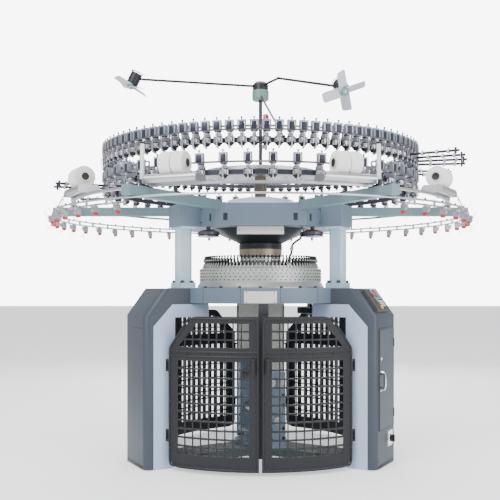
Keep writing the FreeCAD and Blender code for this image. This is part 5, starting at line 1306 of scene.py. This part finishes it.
@dataclass
class CrownHead:
    """Fittings of the columns and the crown: bolts, plate, lamps, oil line and cover plates.

    Attributes:
        shop: where the materials are made.
        legs: headings of the columns.
        column: radius of the columns' centres.
        apothem: half the width across the crown beam's flats.
        plate: width, height and thickness of the bare front plate.
        lamps: headings of the work lamps.
        lamp_radius: their distance from the axis.
    """

    shop: Workshop
    legs: tuple[float, float, float] = (-150.0, -30.0, 90.0)
    column: float = 0.649
    apothem: float = 0.550
    plate: Point = (0.337, 0.062, 0.006)
    lamps: Pair = (-38.3, -141.7)
    lamp_radius: float = 0.484

    def build(self) -> None:
        """Build the crown's fittings."""
        self.column_bolts()
        self.front_plate()
        self.crown_covers()
        self.lamp_rims()
        self.oil_line()

    def column_bolts(self) -> None:
        """Bolts through each column's foot, and through the lug over it."""
        one = Form()
        for x in (-0.038, 0.038):
            for y in (-0.074, 0.074):
                one.hex_bolt(0.026, spot(self.column + x, y, 1.2850))
        for x in (-0.030, 0.030):
            for y in (-0.062, 0.062):
                one.hex_bolt(0.024, spot(self.column + x, y, 1.8450))
        one.repeated(around(h, 0.0, 0.0) for h in self.legs).piece(
            "column_bolts", self.shop.material(BOLT), "fitting_black")
        caps = Form()
        caps.block((0.088, 0.150, 0.010), spot(self.column + 0.004, 0.0, 1.8490), 0.0025)
        caps.repeated(around(h, 0.0, 0.0) for h in self.legs).piece(
            "column_caps", self.shop.material(COLUMN), "column_blue")

    def front_plate(self) -> None:
        """The bare plate that hangs in front of the dial housing, with its rim, screws and straps."""
        wide, tall, thick = self.plate
        at = spot(0.0, -0.470, 1.659) @ Matrix.Rotation(math.pi / 2, 4, "X")
        face = Form()
        face.block((wide, tall, thick), at, 0.0018)
        face.piece("front_plate", self.shop.material(PLATE), "dome_pale")
        rim = Form()
        for side in (-1.0, 1.0):
            rim.block((wide + 0.006, 0.0045, 0.0095), at @ spot(0.0, side * tall / 2, 0.0), 0.0012)
            rim.block((0.0045, tall + 0.006, 0.0095), at @ spot(side * wide / 2, 0.0, 0.0), 0.0012)
            rim.block((0.016, 0.110, 0.003), at @ spot(side * wide * 0.42, 0.026, -0.0050), 0.0008)
            rim.socket_screw(0.0042, at @ spot(side * wide * 0.45, 0.0, thick / 2))
        rim.piece("front_plate_rim", self.shop.material(FUNNEL), "funnel_black")

    def crown_covers(self) -> None:
        """Bolted cover plates on the crown's faces, and dark patches near each face's ends that are painted
        shade in the corners where the creel arms meet the crown.
        """
        covers = Form()
        dark = Form()
        bolts = Form()
        for face in range(30, 390, 60):
            at = around(float(face), self.apothem, 1.7675) @ OUTWARD
            if face != 270:
                covers.block((0.118, 0.236, 0.004), at @ spot(0.0, 0.0, 0.0012), 0.0012)
            for side in (-1.0, 1.0):
                # painted shade: thin dark patches where the creel arms meet the crown
                dark.block((0.052, 0.030, 0.003), at @ spot(0.020, side * 0.245, 0.0), 0.0010)
                if face != 270:
                    for lift in (-0.047, 0.047):
                        bolts.socket_screw(0.0058, at @ spot(lift, side * 0.106, 0.0032))
        covers.piece("crown_covers", self.shop.material(CROWN), "crown_blue")
        dark.piece("crown_painted_shade", self.shop.material(FUNNEL), "funnel_black")
        bolts.piece("crown_cover_screws", self.shop.material(BOLT), "fitting_black")

    def lamp_rims(self) -> None:
        """A bright rim and a lens under each work lamp."""
        rims = Form()
        lenses = Form()
        for heading in self.lamps:
            at = around(heading, self.lamp_radius, 0.0)
            rims.turned(((0.072, 1.6215), (0.080, 1.6215), (0.0822, 1.6245), (0.080, 1.6290),
                         (0.072, 1.6290)), at, 40,
                        loop=True)
            lenses.turned(((0.0, 1.6165), (0.040, 1.6175), (0.072, 1.6225), (0.072, 1.6250), (0.0, 1.6250)),
                          at, 40)
        rims.piece("lamp_rims", self.shop.material(CHROME), "lamp_dark")
        lenses.piece("lamp_lenses", self.shop.material(CERAMIC), "lamp_dark")

    def oil_line(self) -> None:
        """The stiff oil line from the crown down to the guide ring, with its unions."""
        line = Form()
        line.pipe(((0.300, -0.330, 1.688), (0.300, -0.330, 1.610), (0.262, -0.360, 1.590),
                   (0.225, -0.380, 1.560),
                   (0.225, -0.380, 1.500), (0.205, -0.372, 1.470), (0.205, -0.372, 1.412)), 0.0085,
                  Matrix.Identity(4), 16)
        line.piece("oil_line", self.shop.material(BLACK), "fitting_black")
        unions = Form()
        for x, y, z in ((0.300, -0.330, 1.668), (0.225, -0.380, 1.530), (0.205, -0.372, 1.418)):
            unions.turned(((0.0, -0.012), (0.013, -0.012), (0.014, -0.009), (0.014, 0.009), (0.013, 0.012),
                           (0.0, 0.012)), spot(x, y, z), 6)
        unions.piece("oil_unions", self.shop.material(DRAWN), "fitting_black")


@dataclass(frozen=True)
class FeederRow:
    """One ring of positive feeders.

    Attributes:
        count: how many there are.
        step: degrees between them.
        top: height of their housings' undersides.
        stacked: whether a second pulley stands over the first.
    """

    count: int
    step: float
    top: float
    stacked: bool

    def places(self) -> list[Matrix]:
        """Each feeder's place: X points out and the origin is on the machine's axis, level with its top."""
        return [around((index + 0.5) * self.step, 0.0, self.top) for index in range(self.count)]


@dataclass
class Feeders:
    """Small parts of the positive feeders: clutches, spindle nuts, collars, pins, eyelets, signal lenses,
    antenna balls, stop wires and clamps.

    Attributes:
        shop: where the materials are made.
        rows: the feeder rings.
        axis: radius of the feeders' spindles.
    """

    shop: Workshop
    rows: tuple[FeederRow, FeederRow] = (FeederRow(96, 3.75, 2.188, True), FeederRow(48, 7.5, 1.990, False))
    axis: float = 1.160

    def build(self) -> None:
        """Build each kind of small part for both rings."""
        places = [place for row in self.rows for place in row.places()]
        self.everywhere("feeder_clutches", self.clutch(), places, BLACK, "feeder_black")
        self.everywhere("feeder_spindles", self.spindle(), places, DRAWN, "feeder_wheel")
        self.everywhere("feeder_collars", self.collars(), places, BLACK, "feeder_black")
        self.everywhere("feeder_pins", self.pins(), places, CHROME, "feeder_wheel")
        self.everywhere("feeder_eyelets", self.eyelets(), places, CERAMIC, "feeder_wheel")
        self.everywhere("feeder_signals", self.signal(), places, RED, "stop_red")
        self.everywhere("feeder_antenna_balls", self.ball(), places, BLACK, "feeder_black")
        self.everywhere("feeder_stop_wires", self.wires(), places, DRAWN, "feeder_wheel")
        self.everywhere("feeder_clamps", self.clamp(), places, BLACK, "feeder_black")

    def everywhere(self, name: str, one: Form, places: Sequence[Matrix], finish: Finish, slot: str) -> None:
        """Copy a small part to every feeder and make it one piece."""
        one.repeated(places).piece(name, self.shop.material(finish), slot)

    def clutch(self) -> Form:
        """The toothed clutch between the belt pulleys, and the knurled knob over them."""
        one = Form()
        one.turned(((0.0, 0.029), (0.0175, 0.029), (0.0195, 0.0302), (0.0195, 0.0315), (0.0, 0.0315)),
                   spot(self.axis, 0.0, 0.0), 18)
        one.turned(((0.0, 0.0475), (0.0130, 0.0475), (0.0130, 0.0518), (0.0, 0.0518)),
                   spot(self.axis, 0.0, 0.0), 14)
        one.turned(((0.0, 0.0680), (0.0120, 0.0680), (0.0150, 0.0700), (0.0150, 0.0760), (0.0110, 0.0800),
                    (0.0050, 0.0815), (0.0, 0.0815)), spot(self.axis, 0.0, 0.0), 14)
        return one

    def spindle(self) -> Form:
        """The spindle's nut under the wheel."""
        one = Form()
        one.turned(((0.0, -0.0480), (0.0055, -0.0480), (0.0065, -0.0465), (0.0065, -0.0425), (0.0, -0.0425)),
                   spot(self.axis, 0.0, 0.0), 6)
        return one

    def collars(self) -> Form:
        """Collars over and under the yarn wheel, the lower one coned."""
        one = Form()
        one.turned(((0.0, -0.0060), (0.0275, -0.0060), (0.0295, -0.0045), (0.0280, -0.0015), (0.0, -0.0012)),
                   spot(self.axis, 0.0, 0.0), 20)
        one.turned(((0.0, -0.0585), (0.0090, -0.0585), (0.0150, -0.0560), (0.0240, -0.0450),
                    (0.0285, -0.0420),
                    (0.0285, -0.0385), (0.0, -0.0385)), spot(self.axis, 0.0, 0.0), 20)
        return one

    def pins(self) -> Form:
        """The bright bars that the yarn winds on."""
        one = Form()
        for index in range(10):
            turn = Matrix.Translation((self.axis, 0.0, 0.0)) @ Matrix.Rotation(math.tau * index / 10, 4, "Z")
            one.turned(((0.0014, -0.0400), (0.0014, -0.0050)), turn @ spot(0.0262, 0.0, 0.0), 5)
        return one

    def eyelets(self) -> Form:
        """Ceramic eyelets on the front hook and at the housing's nose."""
        one = Form()
        for across, height, tilt in ((1.190, -0.062, 0.0), (1.196, 0.018, 0.3)):
            at = spot(across, 0.0, height) @ Matrix.Rotation(tilt, 4, "Y") @ OUTWARD
            one.turned(((0.0028, -0.0025), (0.0056, -0.0025), (0.0064, 0.0), (0.0056, 0.0025),
                        (0.0028, 0.0025)), at, 12,
                       loop=True)
        return one

    def signal(self) -> Form:
        """The signal lens at the housing's front."""
        one = Form()
        one.turned(((0.0, 0.0), (0.0050, 0.0), (0.0050, 0.0040), (0.0036, 0.0062), (0.0, 0.0070)),
                   spot(1.1838, 0.0, 0.0120) @ OUTWARD, 12)
        return one

    def ball(self) -> Form:
        """The ball on the antenna's tip."""
        one = Form()
        one.turned(((0.0, -0.0070), (0.0040, -0.0060), (0.0066, -0.0026), (0.0070, 0.0), (0.0062, 0.0034),
                    (0.0036, 0.0062), (0.0, 0.0070)), spot(1.1875, 0.0, 0.1120), 12)
        return one

    def wires(self) -> Form:
        """The entry and exit stop wires that ride on the yarn."""
        one = Form()
        one.pipe(((1.180, 0.0085, 0.006), (1.200, 0.0085, 0.004), (1.206, 0.0085, -0.014),
                  (1.204, 0.0, -0.024)), 0.0008,
                 Matrix.Identity(4), 4)
        one.pipe(((1.180, -0.0085, 0.003), (1.196, -0.0085, -0.002), (1.206, -0.0085, -0.030),
                  (1.200, 0.0, -0.050)),
                 0.0008, Matrix.Identity(4), 4)
        return one

    def clamp(self) -> Form:
        """The clamp that holds the housing to the ring, with its screw."""
        one = Form()
        one.block((0.018, 0.0245, 0.016), spot(1.1165, 0.0, 0.0080), 0.002)
        one.hex_bolt(0.0085, spot(1.1165, 0.0, 0.0155), washer=False)
        return one


@dataclass
class CreelFrame:
    """Fittings of the creel: arm bolts, ring clamps, rod ends, stop-unit windows and post sleeves.

    Attributes:
        shop: where the materials are made.
        arms: headings of the arms.
        rods: (heading, height) of the radial guide rods.
        rod_end: radius of the rods' outer ends.
    """

    shop: Workshop
    arms: tuple[int, ...] = (0, 60, 120, 180, 240, 300)
    rods: tuple[Pair, ...] = ((-30.0, 2.173), (-22.5, 2.173), (-15.0, 2.173), (-7.5, 2.173), (7.5, 2.173),
                              (15.0, 2.173), (165.0, 1.975), (195.0, 1.975), (202.5, 1.975))
    rod_end: float = 1.530

    def build(self) -> None:
        """Build the creel's fittings."""
        self.arm_trim()
        self.rod_ends()
        self.stop_trim()
        self.wheel_trim()

    def arm_trim(self) -> None:
        """Clamps and bolts where the rings and posts meet the arms."""
        clamps = Form()
        bolts = Form()
        for radius, wide in ((1.105, 0.060), (1.400, 0.052), (1.540, 0.046)):
            clamps.block((wide, 0.076, 0.007), spot(radius, 0.0, 1.8665), 0.0018)
            for side in (-0.026, 0.026):
                bolts.hex_bolt(0.013, spot(radius, side, 1.8698))
        clamps.repeated(around(a, 0.0, 0.0) for a in self.arms).piece(
            "creel_clamps", self.shop.material(BLACK), "fitting_black")
        bolts.repeated(around(a, 0.0, 0.0) for a in self.arms).piece(
            "creel_bolts", self.shop.material(DRAWN), "creel_steel")
        sleeves = Form()
        sleeves.turned(((0.0124, 1.868), (0.0200, 1.868), (0.0205, 1.872), (0.0175, 1.905), (0.0150, 1.910),
                        (0.0124, 1.910)), spot(1.432, 0.0, 0.0), 20, loop=True)
        sleeves.turned(((0.0, 2.1245), (0.0135, 2.1245), (0.0150, 2.127), (0.0140, 2.135), (0.0070, 2.139),
                        (0.0, 2.1395)), spot(1.432, 0.0, 0.0), 20)
        sleeves.repeated(around(a, 0.0, 0.0) for a in self.arms).piece(
            "post_sleeves", self.shop.material(BLACK), "fitting_black")
        tubes = Form()
        tubes.turned(((0.0121, 1.9095), (0.0129, 1.9095), (0.0129, 2.1250), (0.0121, 2.1250)),
                     spot(1.432, 0.0, 0.0), 20,
                     loop=True)
        tubes.repeated(around(a, 0.0, 0.0) for a in self.arms).piece(
            "post_tubes", self.shop.material(WHITE), "creel_steel")

    def rod_ends(self) -> None:
        """Caps and hooks on the radial guide rods."""
        caps = Form()
        hooks = Form()
        sleeves = Form()
        for heading, height in self.rods:
            at = around(heading, 0.0, height)
            sleeves.turned(((0.0051, 1.136), (0.0082, 1.136), (0.0088, 1.140), (0.0088, 1.496),
                            (0.0082, 1.500),
                            (0.0051, 1.500)), at @ OUTWARD, 12, loop=True)
            caps.turned(((0.0, -0.012), (0.0074, -0.012), (0.0082, -0.008), (0.0082, 0.004), (0.0050, 0.008),
                         (0.0, 0.0085)), at @ spot(self.rod_end - 0.001, 0.0, 0.0) @ OUTWARD, 14)
            for radius in (1.28, 1.38, 1.46):
                hooks.turned(((0.0089, -0.009), (0.0150, -0.009), (0.0160, 0.0), (0.0150, 0.009),
                              (0.0089, 0.009)),
                             at @ spot(radius, 0.0, 0.0) @ OUTWARD, 12, loop=True)
                hooks.pipe(((radius, 0.0, 0.008), (radius, 0.0, 0.022), (radius, 0.010, 0.030),
                            (radius, 0.016, 0.022),
                            (radius, 0.010, 0.014)), 0.0014, at, 6)
        sleeves.piece("rod_sleeves", self.shop.material(NAVY), "fitting_black")
        stay = Form()
        stay.pipe(((0.052, 0.0, 2.704), (0.585, 0.0, 2.447), (1.118, 0.0, 2.190)), 0.0066,
                  around(-82.5, 0.0, 0.0), 12)
        stay.piece("pole_stay_sleeve", self.shop.material(POLE), "pole_black")
        caps.piece("rod_caps", self.shop.material(BLACK), "fitting_black")
        hooks.piece("rod_guides", self.shop.material(DRAWN), "creel_steel")

    def stop_trim(self) -> None:
        """Signal windows, guide loops and clamp screws of the stop units on the outer ring."""
        headings = [3.75 + 7.5 * index for index in range(48)]
        places = [around(heading, 0.0, 0.0) for heading in headings if not 238.5 < heading < 301.5]
        loops = Form()
        loops.pipe(((1.585, 0.0, 1.757), (1.592, 0.0, 1.778), (1.600, 0.007, 1.790), (1.606, 0.0, 1.798),
                    (1.600, -0.007, 1.790), (1.594, -0.001, 1.780)), 0.0013, Matrix.Identity(4), 6)
        loops.pipe(((1.560, 0.004, 1.694), (1.566, 0.004, 1.678), (1.578, 0.0, 1.668), (1.590, 0.0, 1.672)),
                   0.0013,
                   Matrix.Identity(4), 6)
        loops.repeated(places).piece("stop_loops", self.shop.material(DRAWN), "creel_steel")
        screws = Form()
        screws.turned(((0.0, 0.0), (0.0070, 0.0), (0.0070, 0.006), (0.0052, 0.0085), (0.0, 0.0088)),
                      spot(1.540, 0.0, 1.7995), 12)
        screws.repeated(places).piece("stop_knobs", self.shop.material(BLACK), "fitting_black")
        pale = Form()
        pale.block((0.034, 0.0272, 0.010), spot(1.560, 0.0, 1.7545), 0.002)
        pale.repeated(places).piece("stop_brackets", self.shop.material(CREEL), "creel_steel")

    def wheel_trim(self) -> None:
        """The tape wheel's hub flange and its bolts."""
        hub = Form()
        hub.turned(((0.0142, 2.146), (0.056, 2.146), (0.058, 2.150), (0.040, 2.156), (0.030, 2.176),
                    (0.024, 2.180),
                    (0.0142, 2.180)), Matrix.Identity(4), 32, loop=True)
        hub.piece("tape_wheel_hub", self.shop.material(DRAWN), "wheel_aluminium", "tape_drive")
        bolts = Form()
        bolts.hex_bolt(0.010, spot(0.048, 0.0, 2.150))
        bolts.repeated(around(60.0 * i, 0.0, 0.0) for i in range(6)).piece(
            "tape_wheel_bolts", self.shop.material(BOLT), "fitting_black", "tape_drive")


@dataclass
class OuterRings:
    """The outer stop ring and the package ring, with the stop units that hang from them.

    Attributes:
        shop: where the materials are made.
        stop_radius: middle of the stop ring.
        stop_levels: heights of its two tubes.
        tube: their radius.
        package_radius: middle of the package ring.
        gap: headings between which the ring has its upper tube alone, at the front.
    """

    shop: Workshop
    stop_radius: float = 1.540
    stop_levels: Pair = (1.765, 1.793)
    tube: float = 0.0068
    package_radius: float = 1.400
    gap: Pair = (-121.5, -58.5)

    def build(self) -> None:
        """Build the rings and the stop units, and let them stand for the plain ones."""
        self.stop_ring()
        self.stop_units()
        self.banks()
        self.hoops()

    def clear_of_gap(self, heading: float) -> bool:
        """Whether a heading lies outside the front stretch that carries no stop units."""
        return not self.gap[0] < (heading + 180.0) % 360.0 - 180.0 < self.gap[1]

    def stop_ring(self) -> None:
        """Two tubes with clips between them, and the flat package ring with its roller cheeks."""
        rings = Form()
        low, high = self.stop_levels
        route = []
        for step in range(0, 91):
            turn = math.radians(self.gap[1] + step * (360.0 - (self.gap[1] - self.gap[0])) / 90)
            reach = self.stop_radius * (1.0 + 0.0006)
            route.append((reach * math.cos(turn), reach * math.sin(turn), low))
        rings.pipe(route, self.tube, Matrix.Identity(4), 12)
        section = [(self.stop_radius + self.tube * math.cos(math.tau * step / 12),
                    high + self.tube * math.sin(math.tau * step / 12)) for step in range(12)]
        rings.turned(section, Matrix.Identity(4), 192, loop=True)
        for index in range(48):
            if self.clear_of_gap(7.5 * index):
                rings.block((0.0145, 0.010, 0.046), around(7.5 * index, self.stop_radius, 1.779), 0.002)
        rings.turned(((1.3855, 1.8650), (1.4145, 1.8650), (1.4150, 1.8655), (1.4150, 1.8795),
                      (1.4145, 1.8800),
                      (1.3855, 1.8800), (1.3850, 1.8795), (1.3850, 1.8655)), Matrix.Identity(4), 192,
                      loop=True)
        for unit in PACKAGES:
            for side in (-1.0, 1.0):
                outline = ((-0.072, 0.0), (0.072, 0.0), (0.074, 0.030), (0.050, 0.052), (-0.050, 0.052),
                           (-0.074, 0.030))
                at = around(unit.heading, self.package_radius, 1.8770) @ spot(0.0, side * 0.1735, 0.0)
                rings.extruded(outline, 0.0055, at @ Matrix.Rotation(math.pi / 2, 4, "X"), 0.001)
        made = rings.piece("creel_rings", self.shop.material(CREEL), "creel_steel")
        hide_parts("outer_rings")

    def stop_units(self) -> None:
        """Yarn stop units: grey body and red lens cap below."""
        places = [around(3.75 + 7.5 * index, 0.0,
                         0.0) for index in range(48) if self.clear_of_gap(3.75 + 7.5 * index)]
        body = Form()
        body.extruded(((1.524, 1.716), (1.556, 1.716), (1.574, 1.728), (1.574, 1.757), (1.524, 1.757)),
                      0.0180,
                      spot(0.0, 0.0090, 0.0) @ Matrix.Rotation(math.pi / 2, 4, "X"), 0.002)
        bodies = body.repeated(places).piece("stop_bodies", self.shop.material(HOUSING), "creel_steel")
        cap = Form()
        cap.extruded(((1.526, 1.700), (1.552, 1.696), (1.560, 1.706), (1.560, 1.7165), (1.526, 1.7165)),
                     0.0160,
                     spot(0.0, 0.0080, 0.0) @ Matrix.Rotation(math.pi / 2, 4, "X"), 0.002)
        cap.turned(((0.0, 0.0), (0.0055, 0.0), (0.0055, 0.004), (0.0038, 0.0068), (0.0, 0.0075)),
                   spot(1.5735, 0.0, 1.742) @ OUTWARD, 12)
        caps = cap.repeated(places).piece("stop_caps", self.shop.material(STOP), "stop_red")
        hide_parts("stop_units")
        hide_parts("stop_units")

    def banks(self) -> None:
        """The two banks of tension units on the package ring."""
        bodies = Form()
        fins = Form()
        eyes = Form()
        for heading in (-167.0, -13.0):
            for index in range(6):
                at = around(heading + (index - 2.5) * 1.35, 1.400, 0.0)
                bodies.block((0.034, 0.028, 0.024), at @ spot(0.0, 0.0, 1.8925), 0.003)
                fins.extruded(((-0.014, 0.0), (0.014, 0.0), (0.012, 0.040), (0.002, 0.052),
                               (-0.010, 0.040)), 0.022,
                              at @ spot(0.0, 0.011, 1.9040) @ Matrix.Rotation(math.pi / 2, 4, "X"), 0.002)
                eyes.turned(((0.003, -0.003), (0.006, -0.003), (0.007, 0.0), (0.006, 0.003), (0.003, 0.003)),
                            at @ spot(0.0200, 0.0, 1.930) @ OUTWARD, 12, loop=True)
        bodies.piece("tension_bodies", self.shop.material(STOP), "stop_red")
        fins.piece("tension_fins", self.shop.material(GREEN), "creel_teal")
        eyes.piece("tension_eyes", self.shop.material(CERAMIC), "creel_steel")

    def hoops(self) -> None:
        """White balloon rings and their stalks at the creel's two sides."""
        hoops = Form()
        stalks = Form()
        for heading, radius in ((-172.0, 1.500), (-8.0, 1.500), (-163.0, 1.488), (-17.0, 1.488)):
            section = [(0.046 + 0.0030 * math.cos(math.tau * i / 8), 0.0030 * math.sin(math.tau * i / 8))
                       for i in range(8)]
            at = around(heading, radius, 1.868) @ Matrix.Rotation(math.radians(62.0), 4, "Y")
            hoops.turned(section, at, 36, loop=True)
            stalks.pipe(((radius, 0.0, 1.800), (radius, 0.0, 1.812), (radius - 0.022, 0.0, 1.822)), 0.0032,
                        around(heading, 0.0, 0.0), 8)
        hoops.piece("balloon_rings", self.shop.material(WHITE), "creel_steel")
        stalks.piece("balloon_stalks", self.shop.material(DRAWN), "creel_steel")


@dataclass
class YarnPackages:
    """Core tubes of the elastane packages.

    Attributes:
        shop: where the materials are made.
        half: half the width of a package, to the tube's end.
        bore: radius of the tube's bore.
    """

    shop: Workshop
    half: float = 0.086
    bore: float = 0.026

    def build(self) -> None:
        """Build the tubes' ends, which turn with their packages."""
        for package in PACKAGES:
            at = around(package.heading, PACKAGE_RADIUS, PACKAGE_HEIGHT) @ SIDEWAYS
            rim = Form()
            hollow = Form()
            for side in (-1.0, 1.0):
                end = side * self.half
                rim.turned(((self.bore, end - side * 0.004), (self.bore, end + side * 0.0025),
                            (self.bore + 0.0065, end + side * 0.0025),
                            (self.bore + 0.0070, end - side * 0.004)),
                           at, 32, loop=True)
                hollow.turned(((0.0, end + side * 0.0002), (self.bore - 0.002, end + side * 0.0002),
                               (self.bore, end + side * 0.0008), (self.bore, end - side * 0.003),
                               (0.0, end - side * 0.003)), at, 32)
            rim.piece(package.body + "_tube_rims", self.shop.material(PLATE), "yarn_white", package.body)
            hollow.piece(package.body + "_tube_bores", self.shop.material(BLACK), "yarn_white", package.body)


@dataclass
class FeederFronts:
    """The feeders' front brackets and dark terminal blocks, over the belt pulleys.

    Attributes:
        shop: where the materials are made.
        face: radius of the brackets' front.
    """

    shop: Workshop
    face: float = 1.1930

    def build(self) -> None:
        """Build both for the upper and the lower ring."""
        rows = (FeederRow(96, 3.75, 2.188, True), FeederRow(48, 7.5, 1.990, False))
        places = [place for row in rows for place in row.places()]
        front = Form()
        front.block((0.0026, 0.042, 0.012), spot(self.face, 0.0, 0.0925), 0.0008)
        for side in (-1.0, 1.0):
            front.block((0.030, 0.0026, 0.058), spot(self.face - 0.0140, side * 0.0262, 0.0700), 0.0008)
            front.block((0.0026, 0.010, 0.058), spot(self.face, side * 0.0225, 0.0700), 0.0008)
        front.repeated(places).piece("feeder_brackets", self.shop.material(HOUSING), "creel_steel")
        dark = Form()
        dark.block((0.0070, 0.0330, 0.0460), spot(self.face - 0.0012, 0.0, 0.0640), 0.0015)
        dark.repeated(places).piece("feeder_terminals", self.shop.material(NAVY), "feeder_black")


@dataclass
class FanHeads:
    """Hub caps and motor end rings of the two travelling fans.

    Attributes:
        shop: where the materials are made.
    """

    shop: Workshop

    def build(self) -> None:
        """Build the hub caps, which turn with the blades, and the motors' end rings."""
        noses = {"fan_blades_left": ("fan_left", Vector((-0.42, 0.0, -0.9))),
                 "fan_blades_right": ("fan_right", Vector((0.25, -0.72, -0.65)))}
        for node, (body, nose) in noses.items():
            centre = Vector(FAN_CENTRES[node])
            turn = nose.normalized().to_track_quat("Z", "Y").to_matrix().to_4x4()
            cap = Form()
            cap.turned(((0.0, 0.0140), (0.0150, 0.0140), (0.0150, 0.0190), (0.0100, 0.0245), (0.0, 0.0265)),
                       Matrix.Translation(centre) @ turn, 24)
            cap.piece(body + "_cap", self.shop.material(DRAWN), "fitting_black", body)
            ring = Form()
            for back in (-0.034, -0.062, -0.090, -0.118):
                ring.turned(((0.0436, back), (0.0462, back + 0.001), (0.0462, back + 0.007),
                             (0.0436, back + 0.008)),
                            Matrix.Translation(centre) @ turn, 36, loop=True)
            ring.piece(body + "_motor_rings", self.shop.material(BLACK), "pole_black", "fan_turret")


# ---------------------------------------------------------------- putting it together


def main() -> None:
    """Dress the CAD nodes, build each sub-assembly's fittings, then the room."""
    logging.basicConfig(level=logging.INFO, format="%(message)s")
    shop = Workshop()
    Dressing(shop).dress()
    for part in (LegCabinets(shop), Gates(shop), TakeDown(shop), KnittingHead(shop), CrownHead(shop),
                 Feeders(shop), FeederFronts(shop),
                 CreelFrame(shop), OuterRings(shop), YarnPackages(shop), FanHeads(shop)):
        part.build()
    Room().build()


if __name__ == "__main__":
    main()
